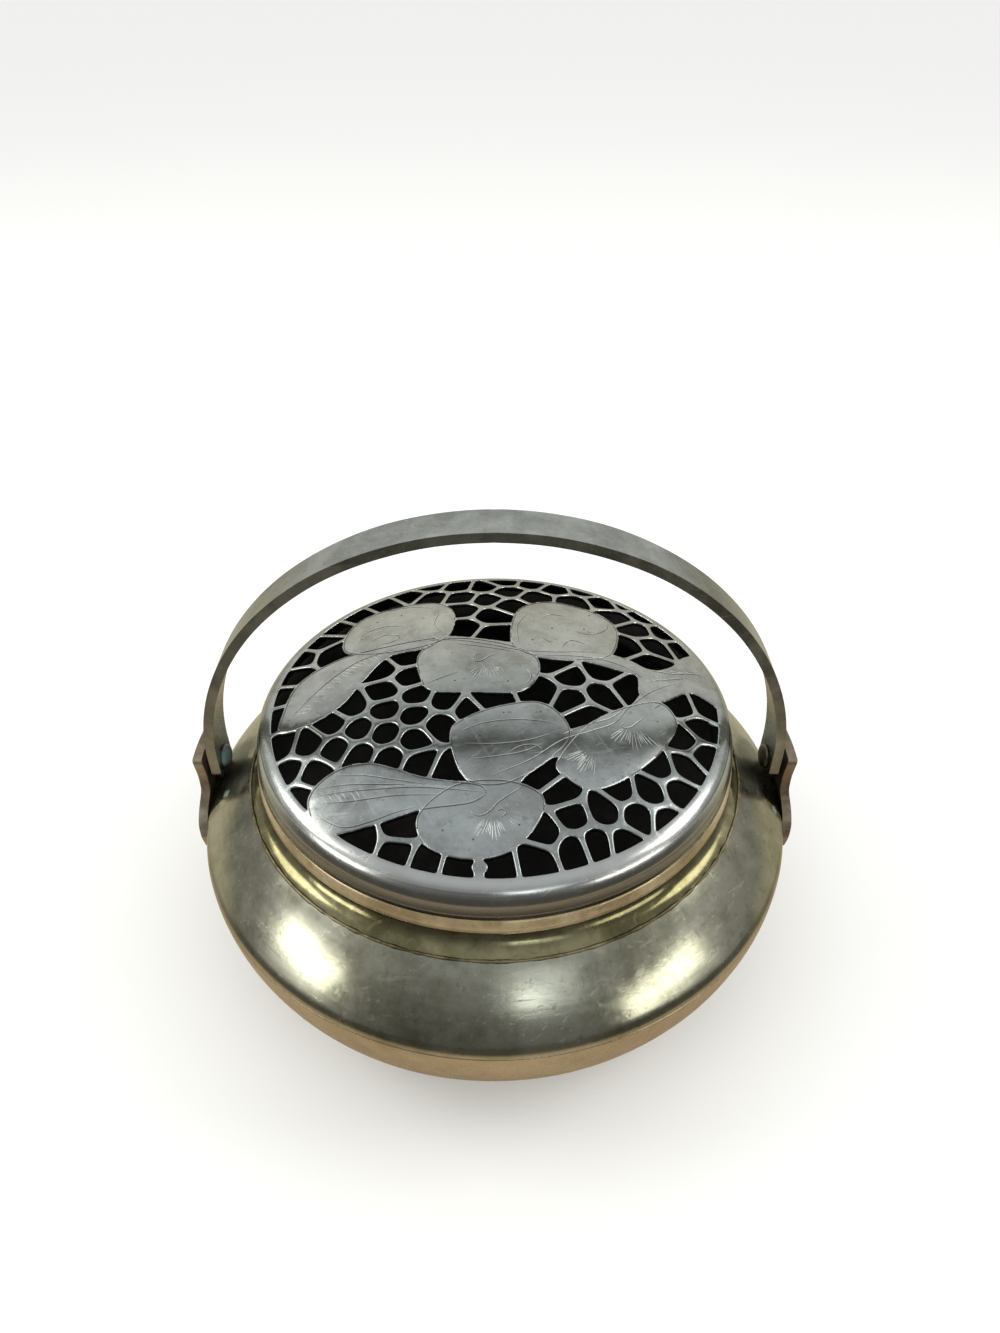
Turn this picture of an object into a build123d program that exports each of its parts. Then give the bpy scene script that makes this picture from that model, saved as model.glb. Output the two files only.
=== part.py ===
from build123d import *
import math
import os

# Antique hand warmer: a squat round vessel for glowing charcoal, a pierced domed lid
# that lifts off, and a strap handle that swings on two riveted ears.
# Millimetres, +Z up, +Y to the back, origin on the middle of the flat foot.

# Neck collar: a cove that rises into an upright lip, with a seat band soldered round it
lip_radius = 54.0
lip_sheet = 1.2
lip_rise = 6.8
cove_run = 4.8
cove_rise = 5.2
band_gap = 0.2
band_height = 3.4
band_foot_width = 2.3
band_edge_width = 1.8

# Vessel: raised sheet, lower bowl and shoulder soldered together at the widest line
sheet = 1.6
shoulder_overhang = 12.5
shoulder_rise = 13.8
turn_radius = 5.0
turn_angle = 40.0
widest_height = 35.0
foot_setback = 30.7
foot_width = 8.6
foot_recess = 1.2
foot_recess_slope = 4.0

# Lid: one raised sheet, a steep wall that slips over the lip and a shallow pierced dome
lid_clearance = 0.08
lid_headroom = 0.4
lid_sheet = 1.2
lid_edge_thickness = 1.52
lid_wall_thickness = 1.12
round_inset = 0.75
round_drop = 1.6
field_inset = 1.7
field_rise = 4.5
field_lining = 0.6
dome_rise = 9.0

# Net of ribs round the fruit and leaves on the lid, drawn on a field of its own radius
drawn_field_radius = 52.3
rib_width = 1.15
hole_rim = 1.0
smallest_hole = 4.0

# Ears and handle
ear_setback = 1.3
ear_sheet = 2.2
ear_reach = 3.9
ear_flare = 0.5
solder_film = 0.05
handle_gap = 1.0
handle_sheet = 2.3
handle_width = 9.6
handle_blunting = 0.3
handle_ground_gap = 0.2135
handle_reach = 65.6
handle_straight = 2.7
rivet_radius = 1.6
rivet_clearance = 0.06
rivet_head_radius = 3.2
rivet_head_height = 1.5
rivet_head_round = 1.35
rivet_play = 0.05

# What follows from those sizes
seam_radius = lip_radius + cove_run
widest_radius = seam_radius + shoulder_overhang
seam_height = widest_height + shoulder_rise
cove_top = seam_height + cove_rise
lip_top = cove_top + lip_rise
band_bottom = cove_top + band_gap
band_top = band_bottom + band_height
foot_radius = widest_radius - foot_setback
foot_inner_radius = foot_radius - foot_width
lid_inner = lip_radius + lid_clearance
lid_wall_top = lip_top + lid_headroom - lid_sheet / 2
field_radius = lip_radius - field_inset
field_height = lid_wall_top + field_rise
ear_inner_radius = widest_radius - ear_setback
handle_outer = ear_inner_radius - handle_gap
handle_inner = handle_outer - handle_sheet

os.makedirs("parts", exist_ok=True)


def polar(center, radius, degrees):
    """A point on a circle, in the radius and height plane."""
    angle = math.radians(degrees)
    return (center[0] + radius * math.cos(angle), center[1] + radius * math.sin(angle))


# Shared lines of the vessel's outer face
bowl_curve = (foot_setback**2 + widest_height**2) / (2 * foot_setback)
bowl_center = (widest_radius - bowl_curve, widest_height)
foot_angle = -math.degrees(math.acos((foot_radius - bowl_center[0]) / bowl_curve))
turn_center = (widest_radius - turn_radius, widest_height)
turn_end = polar(turn_center, turn_radius, turn_angle)
chord = Vector(seam_radius - turn_end[0], seam_height - turn_end[1])
inward = Vector(-math.cos(math.radians(turn_angle)), -math.sin(math.radians(turn_angle)))
shoulder_curve = chord.length**2 / (2 * chord.dot(inward))
shoulder_center = (turn_end[0] + inward.X * shoulder_curve, turn_end[1] + inward.Y * shoulder_curve)
seam_angle = math.degrees(math.atan2(seam_height - shoulder_center[1], seam_radius - shoulder_center[0]))

# The handle's ends turn just clear of the shoulder, which sets how high the rivets sit
handle_end = handle_width / 2 + handle_blunting
shoulder_under_handle = shoulder_center[1] + math.sqrt(shoulder_curve**2 - (handle_inner - shoulder_center[0]) ** 2)
pivot_height = shoulder_under_handle + handle_ground_gap + handle_end
ear_top = pivot_height + ear_reach
handle_top = pivot_height + handle_reach
arch_height = pivot_height + handle_straight


# Lower bowl: a round bowl with a flat foot ring and a recessed middle
with BuildPart() as lower_bowl:
    with BuildSketch(Plane.XZ):
        with BuildLine():
            inner_curve = bowl_curve - sheet
            CenterArc(bowl_center, bowl_curve, foot_angle, -foot_angle)
            Line(polar(bowl_center, bowl_curve, 0), polar(bowl_center, inner_curve, 0))
            CenterArc(bowl_center, inner_curve, -90, 90)
            Polyline(
                polar(bowl_center, inner_curve, -90),
                (foot_inner_radius - foot_recess_slope, foot_recess + sheet),
                (0, foot_recess + sheet),
                (0, foot_recess),
                (foot_inner_radius - foot_recess_slope, foot_recess),
                (foot_inner_radius, 0),
                (foot_radius, 0),
            )
        make_face()
    revolve(axis=Axis.Z)
lower_bowl.part.label = "lower_bowl"
export_step(lower_bowl.part, "parts/lower_bowl.step")


# Shoulder: the upper half of the vessel, turned over at the widest line and domed in to the neck
with BuildPart() as shoulder:
    with BuildSketch(Plane.XZ):
        with BuildLine():
            CenterArc(turn_center, turn_radius, 0, turn_angle)
            CenterArc(shoulder_center, shoulder_curve, turn_angle, seam_angle - turn_angle)
            Line(
                polar(shoulder_center, shoulder_curve, seam_angle),
                polar(shoulder_center, shoulder_curve - sheet, seam_angle),
            )
            CenterArc(shoulder_center, shoulder_curve - sheet, turn_angle, seam_angle - turn_angle)
            CenterArc(turn_center, turn_radius - sheet, 0, turn_angle)
            Line((widest_radius - sheet, widest_height), (widest_radius, widest_height))
        make_face()
    revolve(axis=Axis.Z)
shoulder.part.label = "shoulder"
export_step(shoulder.part, "parts/shoulder.step")


# Neck collar: a cove standing on the shoulder's edge, rising into the lip that the lid slips over
cove_radius = (cove_run**2 + cove_rise**2) / (2 * cove_run)
cove_center = (lip_radius + cove_radius, cove_top)
cove_angle = math.degrees(math.atan2(seam_height - cove_top, seam_radius - cove_center[0]))
collar_foot = polar(shoulder_center, shoulder_curve - sheet, seam_angle)
with BuildPart() as neck_collar:
    with BuildSketch(Plane.XZ):
        with BuildLine():
            CenterArc(cove_center, cove_radius, 180, cove_angle + 180)
            Polyline(
                polar(cove_center, cove_radius, cove_angle),
                collar_foot,
                (collar_foot[0] - lip_sheet, collar_foot[1]),
            )
            Spline(
                (collar_foot[0] - lip_sheet, collar_foot[1]),
                (lip_radius - lip_sheet, cove_top),
                tangents=((-1, 1), (0, 1)),
            )
            Polyline(
                (lip_radius - lip_sheet, cove_top),
                (lip_radius - lip_sheet, lip_top),
                (lip_radius, lip_top),
                (lip_radius, cove_top),
            )
        make_face()
    revolve(axis=Axis.Z)
neck_collar.part.label = "neck_collar"
export_step(neck_collar.part, "parts/neck_collar.step")


# Seat band: a strip soldered round the foot of the lip, on which the lid's edge rests
with BuildPart() as seat_band:
    with BuildSketch(Plane.XZ):
        with BuildLine():
            Polyline(
                (lip_radius, band_bottom),
                (lip_radius + band_foot_width, band_bottom),
                (lip_radius + band_edge_width, band_top),
                (lip_radius, band_top),
                close=True,
            )
        make_face()
    revolve(axis=Axis.Z)
seat_band.part.label = "seat_band"
export_step(seat_band.part, "parts/seat_band.step")


# Lid outline, then the net of holes cut straight down through it
dome_radius = (field_radius**2 + dome_rise**2) / (2 * dome_rise)
dome_center_height = field_height + dome_rise - dome_radius

# Solid fruit, leaves and branches of the ornament, seen from above, as smooth closed outlines
motifs = {
    "fruit at the back left": [
        (-37.5, 22), (-34, 30), (-26, 33.5), (-17, 34.5), (-11.5, 30), (-10, 22), (-13, 13), (-25, 10), (-36, 13),
    ],
    "fruit at the back right": [
        (3.8, 18), (6.5, 29.5), (14, 34.5), (24, 31.5), (30, 25), (30, 16), (26, 8), (14, 5.5), (5, 9),
    ],
    "fruit in the upper middle": [
        (-18, 8), (-17, -1), (-14, -5.8), (-4, -6.8), (6, -6.5), (10.2, 0), (9, 7), (0, 12), (-12, 14),
    ],
    "fruit in the middle": [
        (-9.5, -19), (-6, -14.5), (2, -11), (10, -9.8), (15, -14), (16, -20), (10, -27), (2, -32), (-6, -30.5),
    ],
    "fruit at the right": [
        (13, -26), (15, -30), (20, -32.3), (27, -29), (34, -22.5), (39.5, -14.5), (40.5, -9), (36, -5.5), (22, -14),
    ],
    "fruit at the front": [
        (-15, -38), (-14, -44), (-8, -47.2), (0, -47.4), (6, -44), (10, -37.5), (9, -33.5), (2, -31), (-8, -32),
    ],
    "long leaf at the left": [
        (-48.5, -6), (-46.5, 4), (-38, 10.5), (-26, 13), (-14, 14.5), (-16, 10.5), (-25, 8.5),
        (-30.5, 0), (-34, -6.5), (-41, -11.5), (-48, -12),
    ],
    "leaf at the front left": [
        (-38.5, -32), (-34, -26.2), (-26, -25.2), (-14, -30), (-2, -32.5), (-4, -36), (-15, -37.3), (-24, -39.6), (-34, -40),
    ],
    "leaf at the right rim": [
        (28, 9.5), (36.5, 6.3), (42, 9), (47, 15.5), (56, 20), (56, -3), (46, 0.5), (38, -5), (33, -4), (33, 3),
    ],
    "branch to the right rim": [
        (16, -17.5), (24, -13.5), (30, -8.5), (34, -3), (38, -4.5), (34, -11), (26, -19), (14, -24), (4, -28), (8, -21),
    ],
    "upper branch": [
        (-12, 15), (0, 12.5), (14, 9.8), (28, 9.8), (35, 6.5), (32, 3.5), (20, 6), (8, 6.3), (-4, 8), (-14, 11),
    ],
    "stalk to the front fruit": [
        (16, -24), (9.5, -26), (5, -32), (-1, -37), (-5, -36), (0, -30), (6, -24), (12, -20),
    ],
    "tie at the front": [(-4.6, -46), (-4.8, -50), (-3.4, -54), (-1.6, -54), (-1, -50), (-1.6, -46)],
    "rim at the front left": [(-42, -34), (-38, -34.5), (-33, -40), (-30.5, -42), (-34, -46), (-42, -40)],
}

# Middle of every hole of the net, seen from above
hole_middles = [
    (-50.5, 1), (-48.5, 7.5), (-47.5, 15), (-40, 14.5), (-43.5, 21), (-40.5, 27), (-35.5, 32), (-29, 37),
    (-23, 41), (-17, 38.5), (-17.5, 48), (-10.5, 46), (-9, 37), (-8.5, 28.5), (-8, 19), (-3.2, 45),
    (-2.3, 35), (-0.8, 25), (0, 15.5), (-26.5, 3.5), (-21, 7.5), (-19.5, -0.5), (2.5, 49.5), (3.5, 41),
    (3.8, 31), (10, 48), (16, 45), (10.5, 37.5), (20.5, 36.5), (24, 46), (28.5, 38.5), (34.5, 40),
    (39, 34), (31, 29.5), (35.5, 24.5), (43.5, 25.5), (32.5, 15), (39.5, 17.5), (46.5, 19.5), (37.5, 9.3),
    (13.5, 3.5), (17, -0.8), (25, 2.5), (30, -2.5), (24, -5.5), (17, -8), (11, -5.5), (20.5, -13),
    (42.5, -5), (48.5, -4), (46.5, -11), (41, -15.5), (46, -19.5), (41, -23.5), (34.5, -24.5), (38.5, -30),
    (32, -31), (25.5, -31.5), (22, -36.5), (29, -37), (35, -37.5), (15.5, -38.5), (13.5, -33.5), (10, -29.5),
    (10, -42), (15.5, -45.5), (20, -44), (26, -43.5), (8.5, -48), (0.5, -49.5), (-50.5, -7), (-47, -16.5),
    (-40.5, -17), (-44, -24), (-38, -25.5), (-41, -31), (-36, -12.5), (-32, -8), (-25, -4.5), (-17.5, -7),
    (-29.5, -15.5), (-24, -10.5), (-17.5, -13), (-34, -20), (-28.5, -22.5), (-23.5, -17.5), (-17, -20),
    (-12, -16.5), (-11, -9), (-5.5, -12), (-2, -9.5), (-22, -24.5), (-15.5, -26.5), (-9.5, -28.5),
    (-26.5, -43.5), (-18, -40.5), (-19, -46), (-13, -48), (-7, -49.5),
]


# The drawing follows the field when its radius changes
drawing_scale = field_radius / drawn_field_radius
hole_middles = [(x * drawing_scale, y * drawing_scale) for x, y in hole_middles]
motifs = {name: [(x * drawing_scale, y * drawing_scale) for x, y in line] for name, line in motifs.items()}


def hole_outline(middle):
    """Corners of one hole: the points nearer to this middle than to any other, less half a rib."""
    reach = field_radius
    corners = [
        (middle[0] - reach, middle[1] - reach),
        (middle[0] + reach, middle[1] - reach),
        (middle[0] + reach, middle[1] + reach),
        (middle[0] - reach, middle[1] + reach),
    ]
    for other in hole_middles:
        gap = math.dist(middle, other)
        if gap == 0 or gap > reach / 2:
            continue
        away = ((other[0] - middle[0]) / gap, (other[1] - middle[1]) / gap)
        limit = gap / 2 - rib_width / 2
        kept = []
        for (ax, ay), (bx, by) in zip(corners, corners[1:] + corners[:1]):
            a_over = (ax - middle[0]) * away[0] + (ay - middle[1]) * away[1] - limit
            b_over = (bx - middle[0]) * away[0] + (by - middle[1]) * away[1] - limit
            if a_over <= 0:
                kept.append((ax, ay))
            if a_over * b_over < 0:
                part = a_over / (a_over - b_over)
                kept.append((ax + (bx - ax) * part, ay + (by - ay) * part))
        corners = kept
    return corners


hole_faces = [Face(Wire.make_polygon(hole_outline(middle))) for middle in hole_middles]
motif_faces = [Face(Wire(Edge.make_spline(outline, periodic=True))) for outline in motifs.values()]
with BuildSketch() as net:
    add(hole_faces)
    Circle(field_radius - hole_rim, mode=Mode.INTERSECT)
    add(motif_faces, mode=Mode.SUBTRACT)
holes = [face for face in net.sketch.faces() if face.area > smallest_hole]

with BuildPart() as pierced_lid:
    with BuildSketch(Plane.XZ):
        with BuildLine():
            inner_field = (field_radius - field_lining, field_height - lid_sheet)
            wall_top = (lid_inner + lid_wall_thickness, lid_wall_top)
            Polyline(
                (lid_inner, lid_wall_top + lid_sheet / 2),
                (lid_inner, band_top),
                (lid_inner + lid_edge_thickness, band_top),
                wall_top,
            )
            ThreePointArc(
                wall_top,
                (wall_top[0] - round_inset, field_height - round_drop),
                (field_radius, field_height),
            )
            ThreePointArc(
                (field_radius, field_height),
                (field_radius / 2, dome_center_height + math.sqrt(dome_radius**2 - (field_radius / 2) ** 2)),
                (0, dome_center_height + dome_radius),
            )
            Line((0, dome_center_height + dome_radius), (0, dome_center_height + dome_radius - lid_sheet))
            inner_dome = dome_radius - lid_sheet
            ThreePointArc(
                (0, dome_center_height + inner_dome),
                (
                    inner_field[0] / 2,
                    dome_center_height + math.sqrt(inner_dome**2 - (inner_field[0] / 2) ** 2),
                ),
                (inner_field[0], dome_center_height + math.sqrt(inner_dome**2 - inner_field[0] ** 2)),
            )
            Line(
                (inner_field[0], dome_center_height + math.sqrt(inner_dome**2 - inner_field[0] ** 2)),
                (lid_inner, lid_wall_top + lid_sheet / 2),
            )
        make_face()
    revolve(axis=Axis.Z)
    with BuildSketch(Plane.XY.offset(field_height - 2 * lid_sheet)):
        add(holes)
    extrude(amount=dome_rise + 4 * lid_sheet, mode=Mode.SUBTRACT)
pierced_lid.part.label = "pierced_lid"
export_step(pierced_lid.part, "parts/pierced_lid.step")


# Filled shape of the vessel and its film of solder, used to fit the ears against it
with BuildPart() as vessel_envelope:
    with BuildSketch(Plane.XZ):
        with BuildLine():
            bowl_skin = bowl_curve + solder_film
            turn_skin = turn_radius + solder_film
            shoulder_skin = shoulder_curve + solder_film
            skin_end = polar(shoulder_center, shoulder_skin, seam_angle)
            skin_foot = polar(bowl_center, bowl_skin, foot_angle)
            CenterArc(bowl_center, bowl_skin, foot_angle, -foot_angle)
            CenterArc(turn_center, turn_skin, 0, turn_angle)
            CenterArc(shoulder_center, shoulder_skin, turn_angle, seam_angle - turn_angle)
            Polyline(skin_end, (0, skin_end[1]), (0, skin_foot[1]), skin_foot)
        make_face()
    revolve(axis=Axis.Z)

# Ears: bell-shaped plates, beaten to the vessel's side and standing up outside the handle.
# Half widths go with heights from the widest line, section radii with distances from the widest radius.
ear_neck_width = 6.0
ear_corner = 1.0
ear_bell = [(6.6, 6.5), (8.6, 3.6), (11.4, 1.0), (13.4, -2.5), (13.0, -6.5), (9.5, -9.4), (4.5, -10.8)]
ear_tip_drop = 11.2
ear_half_outline = [
    (ear_neck_width - ear_corner / 2, ear_top),
    (ear_neck_width, ear_top - ear_corner),
    (ear_neck_width, widest_height + 10.0),
    *[(width, widest_height + rise) for width, rise in ear_bell],
]
ear_lining = [(-3.3, -11.5), (-3.3, 1.0), (0.6 - ear_setback, 3.5)]
ear_belly = [(1.9, 3.0), (2.3, 0.0), (1.6, -6.0), (-0.7, -11.5)]
ear_pinch = widest_height + 7.0
ear_upright = widest_height + 12.0
ear_back = [
    *[(widest_radius + out, widest_height + rise) for out, rise in ear_lining],
    (ear_inner_radius, ear_pinch),
    (ear_inner_radius, ear_upright),
    (ear_inner_radius + ear_flare, ear_top + ear_flare),
]
ear_face = [
    (ear_inner_radius + ear_flare + ear_sheet, ear_top + ear_flare),
    (ear_inner_radius + ear_sheet, ear_upright),
    (ear_inner_radius + ear_sheet, ear_pinch),
    *[(widest_radius + out, widest_height + rise) for out, rise in ear_belly],
]
ear_depth = 10.0
with BuildPart() as ear_right:
    with BuildSketch(Plane.XZ):
        with BuildLine():
            Polyline(*ear_back, ear_face[0])
            Spline(*ear_face)
            Line(ear_face[-1], ear_back[0])
        make_face()
    revolve(axis=Axis.Z)
    with BuildSketch(Plane.YZ.offset(widest_radius - ear_depth)):
        with BuildLine():
            Line((-ear_half_outline[0][0], ear_top), (ear_half_outline[0][0], ear_top))
            Spline(
                *ear_half_outline,
                (0, widest_height - ear_tip_drop),
                *[(-y, z) for y, z in reversed(ear_half_outline)],
            )
        make_face()
    extrude(amount=2 * ear_depth, mode=Mode.INTERSECT)
    add(vessel_envelope.part, mode=Mode.SUBTRACT)
    with Locations(Plane.YZ.offset(widest_radius).location * Pos(0, pivot_height)):
        Hole(radius=rivet_radius)
ear_right.part.label = "ear_right"
export_step(ear_right.part, "parts/ear_right.step")

with BuildPart() as ear_left:
    mirror(ear_right.part, about=Plane.YZ)
ear_left.part.label = "ear_left"
export_step(ear_left.part, "parts/ear_left.step")


# Handle: a flat strap bent to an arch, with blunt round ends on the rivets
with BuildPart() as handle:
    with BuildSketch(Plane.XZ):
        with Locations((0, arch_height)):
            Ellipse(handle_outer, handle_top - arch_height)
            Ellipse(handle_inner, handle_top - arch_height - handle_sheet, mode=Mode.SUBTRACT)
            Rectangle(2 * handle_top, handle_top, align=(Align.CENTER, Align.MAX), mode=Mode.SUBTRACT)
        with Locations((-handle_outer, arch_height), (handle_inner, arch_height)):
            Rectangle(handle_sheet, arch_height - pivot_height, align=(Align.MIN, Align.MAX))
    extrude(amount=handle_width / 2, both=True)
    for side in (-handle_outer, handle_inner):
        with BuildSketch(Plane.YZ.offset(side)):
            with Locations((0, pivot_height)):
                Circle(handle_end)
                Rectangle(handle_width, 2 * handle_end, mode=Mode.INTERSECT)
        extrude(amount=handle_sheet)
    with BuildSketch(Plane.YZ):
        with Locations((0, pivot_height)):
            Circle(rivet_radius + rivet_clearance)
    extrude(amount=2 * handle_outer, both=True, mode=Mode.SUBTRACT)
handle.part.label = "handle"
export_step(handle.part, "parts/handle.step")


# Rivets: a round shank through handle and ear, with a head peened over to a dome at each end
shank_start = handle_inner - rivet_play
shank_end = ear_inner_radius + ear_sheet
with BuildPart() as rivet_right:
    with BuildSketch(Plane.YZ.offset(shank_start)):
        with Locations((0, pivot_height)):
            Circle(rivet_radius)
    extrude(amount=shank_end - shank_start)
    for head_start in (shank_start - rivet_head_height, shank_end):
        with BuildSketch(Plane.YZ.offset(head_start)):
            with Locations((0, pivot_height)):
                Circle(rivet_head_radius)
        extrude(amount=rivet_head_height)
    heads = rivet_right.edges().filter_by(GeomType.CIRCLE).sort_by(Axis.X)
    fillet([heads[0], heads[-1]], radius=rivet_head_round)
rivet_right.part.label = "rivet_right"
export_step(rivet_right.part, "parts/rivet_right.step")

with BuildPart() as rivet_left:
    mirror(rivet_right.part, about=Plane.YZ)
rivet_left.part.label = "rivet_left"
export_step(rivet_left.part, "parts/rivet_left.step")
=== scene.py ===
import math

import bmesh
import bpy
import numpy as np
from mathutils.geometry import delaunay_2d_cdt
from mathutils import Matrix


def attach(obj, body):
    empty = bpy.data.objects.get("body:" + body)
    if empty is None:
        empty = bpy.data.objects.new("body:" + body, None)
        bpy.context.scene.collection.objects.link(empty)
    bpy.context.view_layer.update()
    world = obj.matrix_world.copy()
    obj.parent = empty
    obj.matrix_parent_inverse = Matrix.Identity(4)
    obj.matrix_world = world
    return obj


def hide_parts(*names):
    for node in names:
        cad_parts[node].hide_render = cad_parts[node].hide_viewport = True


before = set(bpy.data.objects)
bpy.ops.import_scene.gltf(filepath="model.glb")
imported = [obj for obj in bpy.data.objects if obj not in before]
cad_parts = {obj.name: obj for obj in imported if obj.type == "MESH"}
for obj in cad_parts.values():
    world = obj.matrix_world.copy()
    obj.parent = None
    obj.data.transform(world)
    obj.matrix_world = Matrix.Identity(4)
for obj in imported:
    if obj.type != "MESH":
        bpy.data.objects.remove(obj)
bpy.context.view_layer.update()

# The lower bowl is raised from thick paktong sheet and stands on its own flat foot ring.
# Outside it is warm and worn by the rubbing of hands and tables; inside it is painted near black, for soot
# and for the shade inside the closed vessel.
mm = 0.001
sheet = 1.6
widest_radius, widest_height = 71.3, 35.0
bowl_curve = 35.3
bowl_center = (widest_radius - bowl_curve, widest_height)
foot_radius = bowl_center[0] + math.sqrt(bowl_curve**2 - widest_height**2)
foot_inner_radius, foot_edge = 32.0, 0.4
foot_recess, recess_slope = 1.2, 4.0
full_marks_radius = 40.0


def arc(center, radius, start, end, count):
    """Points on a circle in the radius and height plane, from one angle in degrees to another."""
    return [
        (center[0] + radius * math.cos(math.radians(a)), center[1] + radius * math.sin(math.radians(a)))
        for a in np.linspace(start, end, count)
    ]


def beaten(angle, height):
    """How far the hammer left the wall inside its true radius, in millimetres."""
    wide = 0.055 * math.sin(2 * angle + 0.7) + 0.04 * math.sin(3 * angle + 0.11 * height)
    narrow = 0.02 * math.sin(7 * angle - 0.17 * height) + 0.012 * math.sin(13 * angle + 0.3 * height)
    return wide + narrow - 0.13


def finished(name, sheet_mesh, finishes, slot, body, *nodes):
    """Closes a mesh, smooths it, gives it its finishes, hands it to its body and hides the CAD nodes that it
    replaces.
    """
    bmesh.ops.recalc_face_normals(sheet_mesh, faces=sheet_mesh.faces)
    data = bpy.data.meshes.new(name)
    sheet_mesh.to_mesh(data)
    sheet_mesh.free()
    for finish in finishes:
        data.materials.append(finish)
    data.shade_smooth()
    piece = bpy.data.objects.new(name, data)
    bpy.context.scene.collection.objects.link(piece)
    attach(piece, body)
    if nodes:
        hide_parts(*nodes)
    return piece


def lathe(outside, inside, turns=320, wall=beaten, closed=True):
    """A round shell from its outer and inner outline. Faces of the inner one get the second finish.
    The wall's unevenness fades out towards the axis."""
    shell = bmesh.new()
    rings = []
    for radius, height in outside + inside:
        if radius == 0:
            rings.append([shell.verts.new((0, 0, height * mm))])
            continue
        ring = []
        for k in range(turns):
            angle = 2 * math.pi * k / turns
            r = (radius + wall(angle, height) * min(1.0, radius / full_marks_radius)) * mm
            ring.append(shell.verts.new((r * math.cos(angle), r * math.sin(angle), height * mm)))
        rings.append(ring)
    steps = len(rings) if closed else len(rings) - 1
    for i in range(steps):
        low, high = rings[i], rings[(i + 1) % len(rings)]
        if len(low) == 1 and len(high) == 1:
            continue
        for k in range(turns):
            k2 = (k + 1) % turns
            if len(low) == 1:
                face = shell.faces.new((low[0], high[k2], high[k]))
            elif len(high) == 1:
                face = shell.faces.new((low[k], low[k2], high[0]))
            else:
                face = shell.faces.new((low[k], low[k2], high[k2], high[k]))
            face.material_index = int(i >= len(outside))
    return shell


def round_edges(piece, width, angle=35, rows=2):
    """A worn edge on every sharp corner of a piece."""
    edge = piece.modifiers.new("worn edge", "BEVEL")
    edge.width = width * mm
    edge.segments = rows
    edge.limit_method = "ANGLE"
    edge.angle_limit = math.radians(angle)
    edge.harden_normals = True
    edge.use_clamp_overlap = True


class Wires:
    """Makes the nodes of one tree. A node's input takes a number, a colour or another node's output."""

    def __init__(self, tree):
        """Takes the tree in which the nodes are made."""
        self.tree = tree

    def feed(self, node, inputs):
        """Fills a node's inputs, given by name or number."""
        for key, value in dict(inputs).items():
            if isinstance(value, bpy.types.NodeSocket):
                self.tree.links.new(value, node.inputs[key])
            else:
                node.inputs[key].default_value = value
        return node

    def node(self, kind, inputs=(), **settings):
        """A new node with its settings made and its inputs filled."""
        node = self.tree.nodes.new(kind)
        for setting, value in settings.items():
            setattr(node, setting, value)
        return self.feed(node, inputs)

    def calc(self, operation, *values):
        """One step of arithmetic."""
        return self.node("ShaderNodeMath", enumerate(values), operation=operation).outputs["Value"]

    def times(self, first, second):
        """The product of two values."""
        return self.calc("MULTIPLY", first, second)

    def plus(self, first, second):
        """The sum of two values."""
        return self.calc("ADD", first, second)

    def minus(self, first, second):
        """The first value less the second."""
        return self.calc("SUBTRACT", first, second)

    def ease(self, value, start, end, low=0.0, high=1.0, kind="LINEAR"):
        """Runs from low to high while the value runs from start to end, and stays level beyond."""
        inputs = {"Value": value, "From Min": start, "From Max": end, "To Min": low, "To Max": high}
        return self.node("ShaderNodeMapRange", inputs, interpolation_type=kind).outputs["Result"]

    def mix(self, share, first, second, blend="MIX"):
        """Two colours mixed, all of the second where the share is one."""
        first, second = ((*value, 1.0) if isinstance(value, tuple) else value for value in (first, second))
        inputs = {0: share, 6: first, 7: second}
        return self.node("ShaderNodeMix", inputs, data_type="RGBA", blend_type=blend).outputs[2]

    def ramp(self, value, stops):
        """A run of colours from (position, colour) stops."""
        run = self.node("ShaderNodeValToRGB", {"Fac": value})
        while len(run.color_ramp.elements) < len(stops):
            run.color_ramp.elements.new(0.5)
        for element, (position, colour) in zip(run.color_ramp.elements, stops):
            element.position = position
            element.color = (*colour, 1.0)
        return run.outputs["Color"]

    def split(self, vector):
        """The three parts of a vector."""
        apart = self.node("ShaderNodeSeparateXYZ", {"Vector": vector})
        return [apart.outputs[axis] for axis in "XYZ"]

    def join(self, x=0.0, y=0.0, z=0.0):
        """A vector from its three parts."""
        return self.node("ShaderNodeCombineXYZ", {"X": x, "Y": y, "Z": z}).outputs["Vector"]


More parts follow.
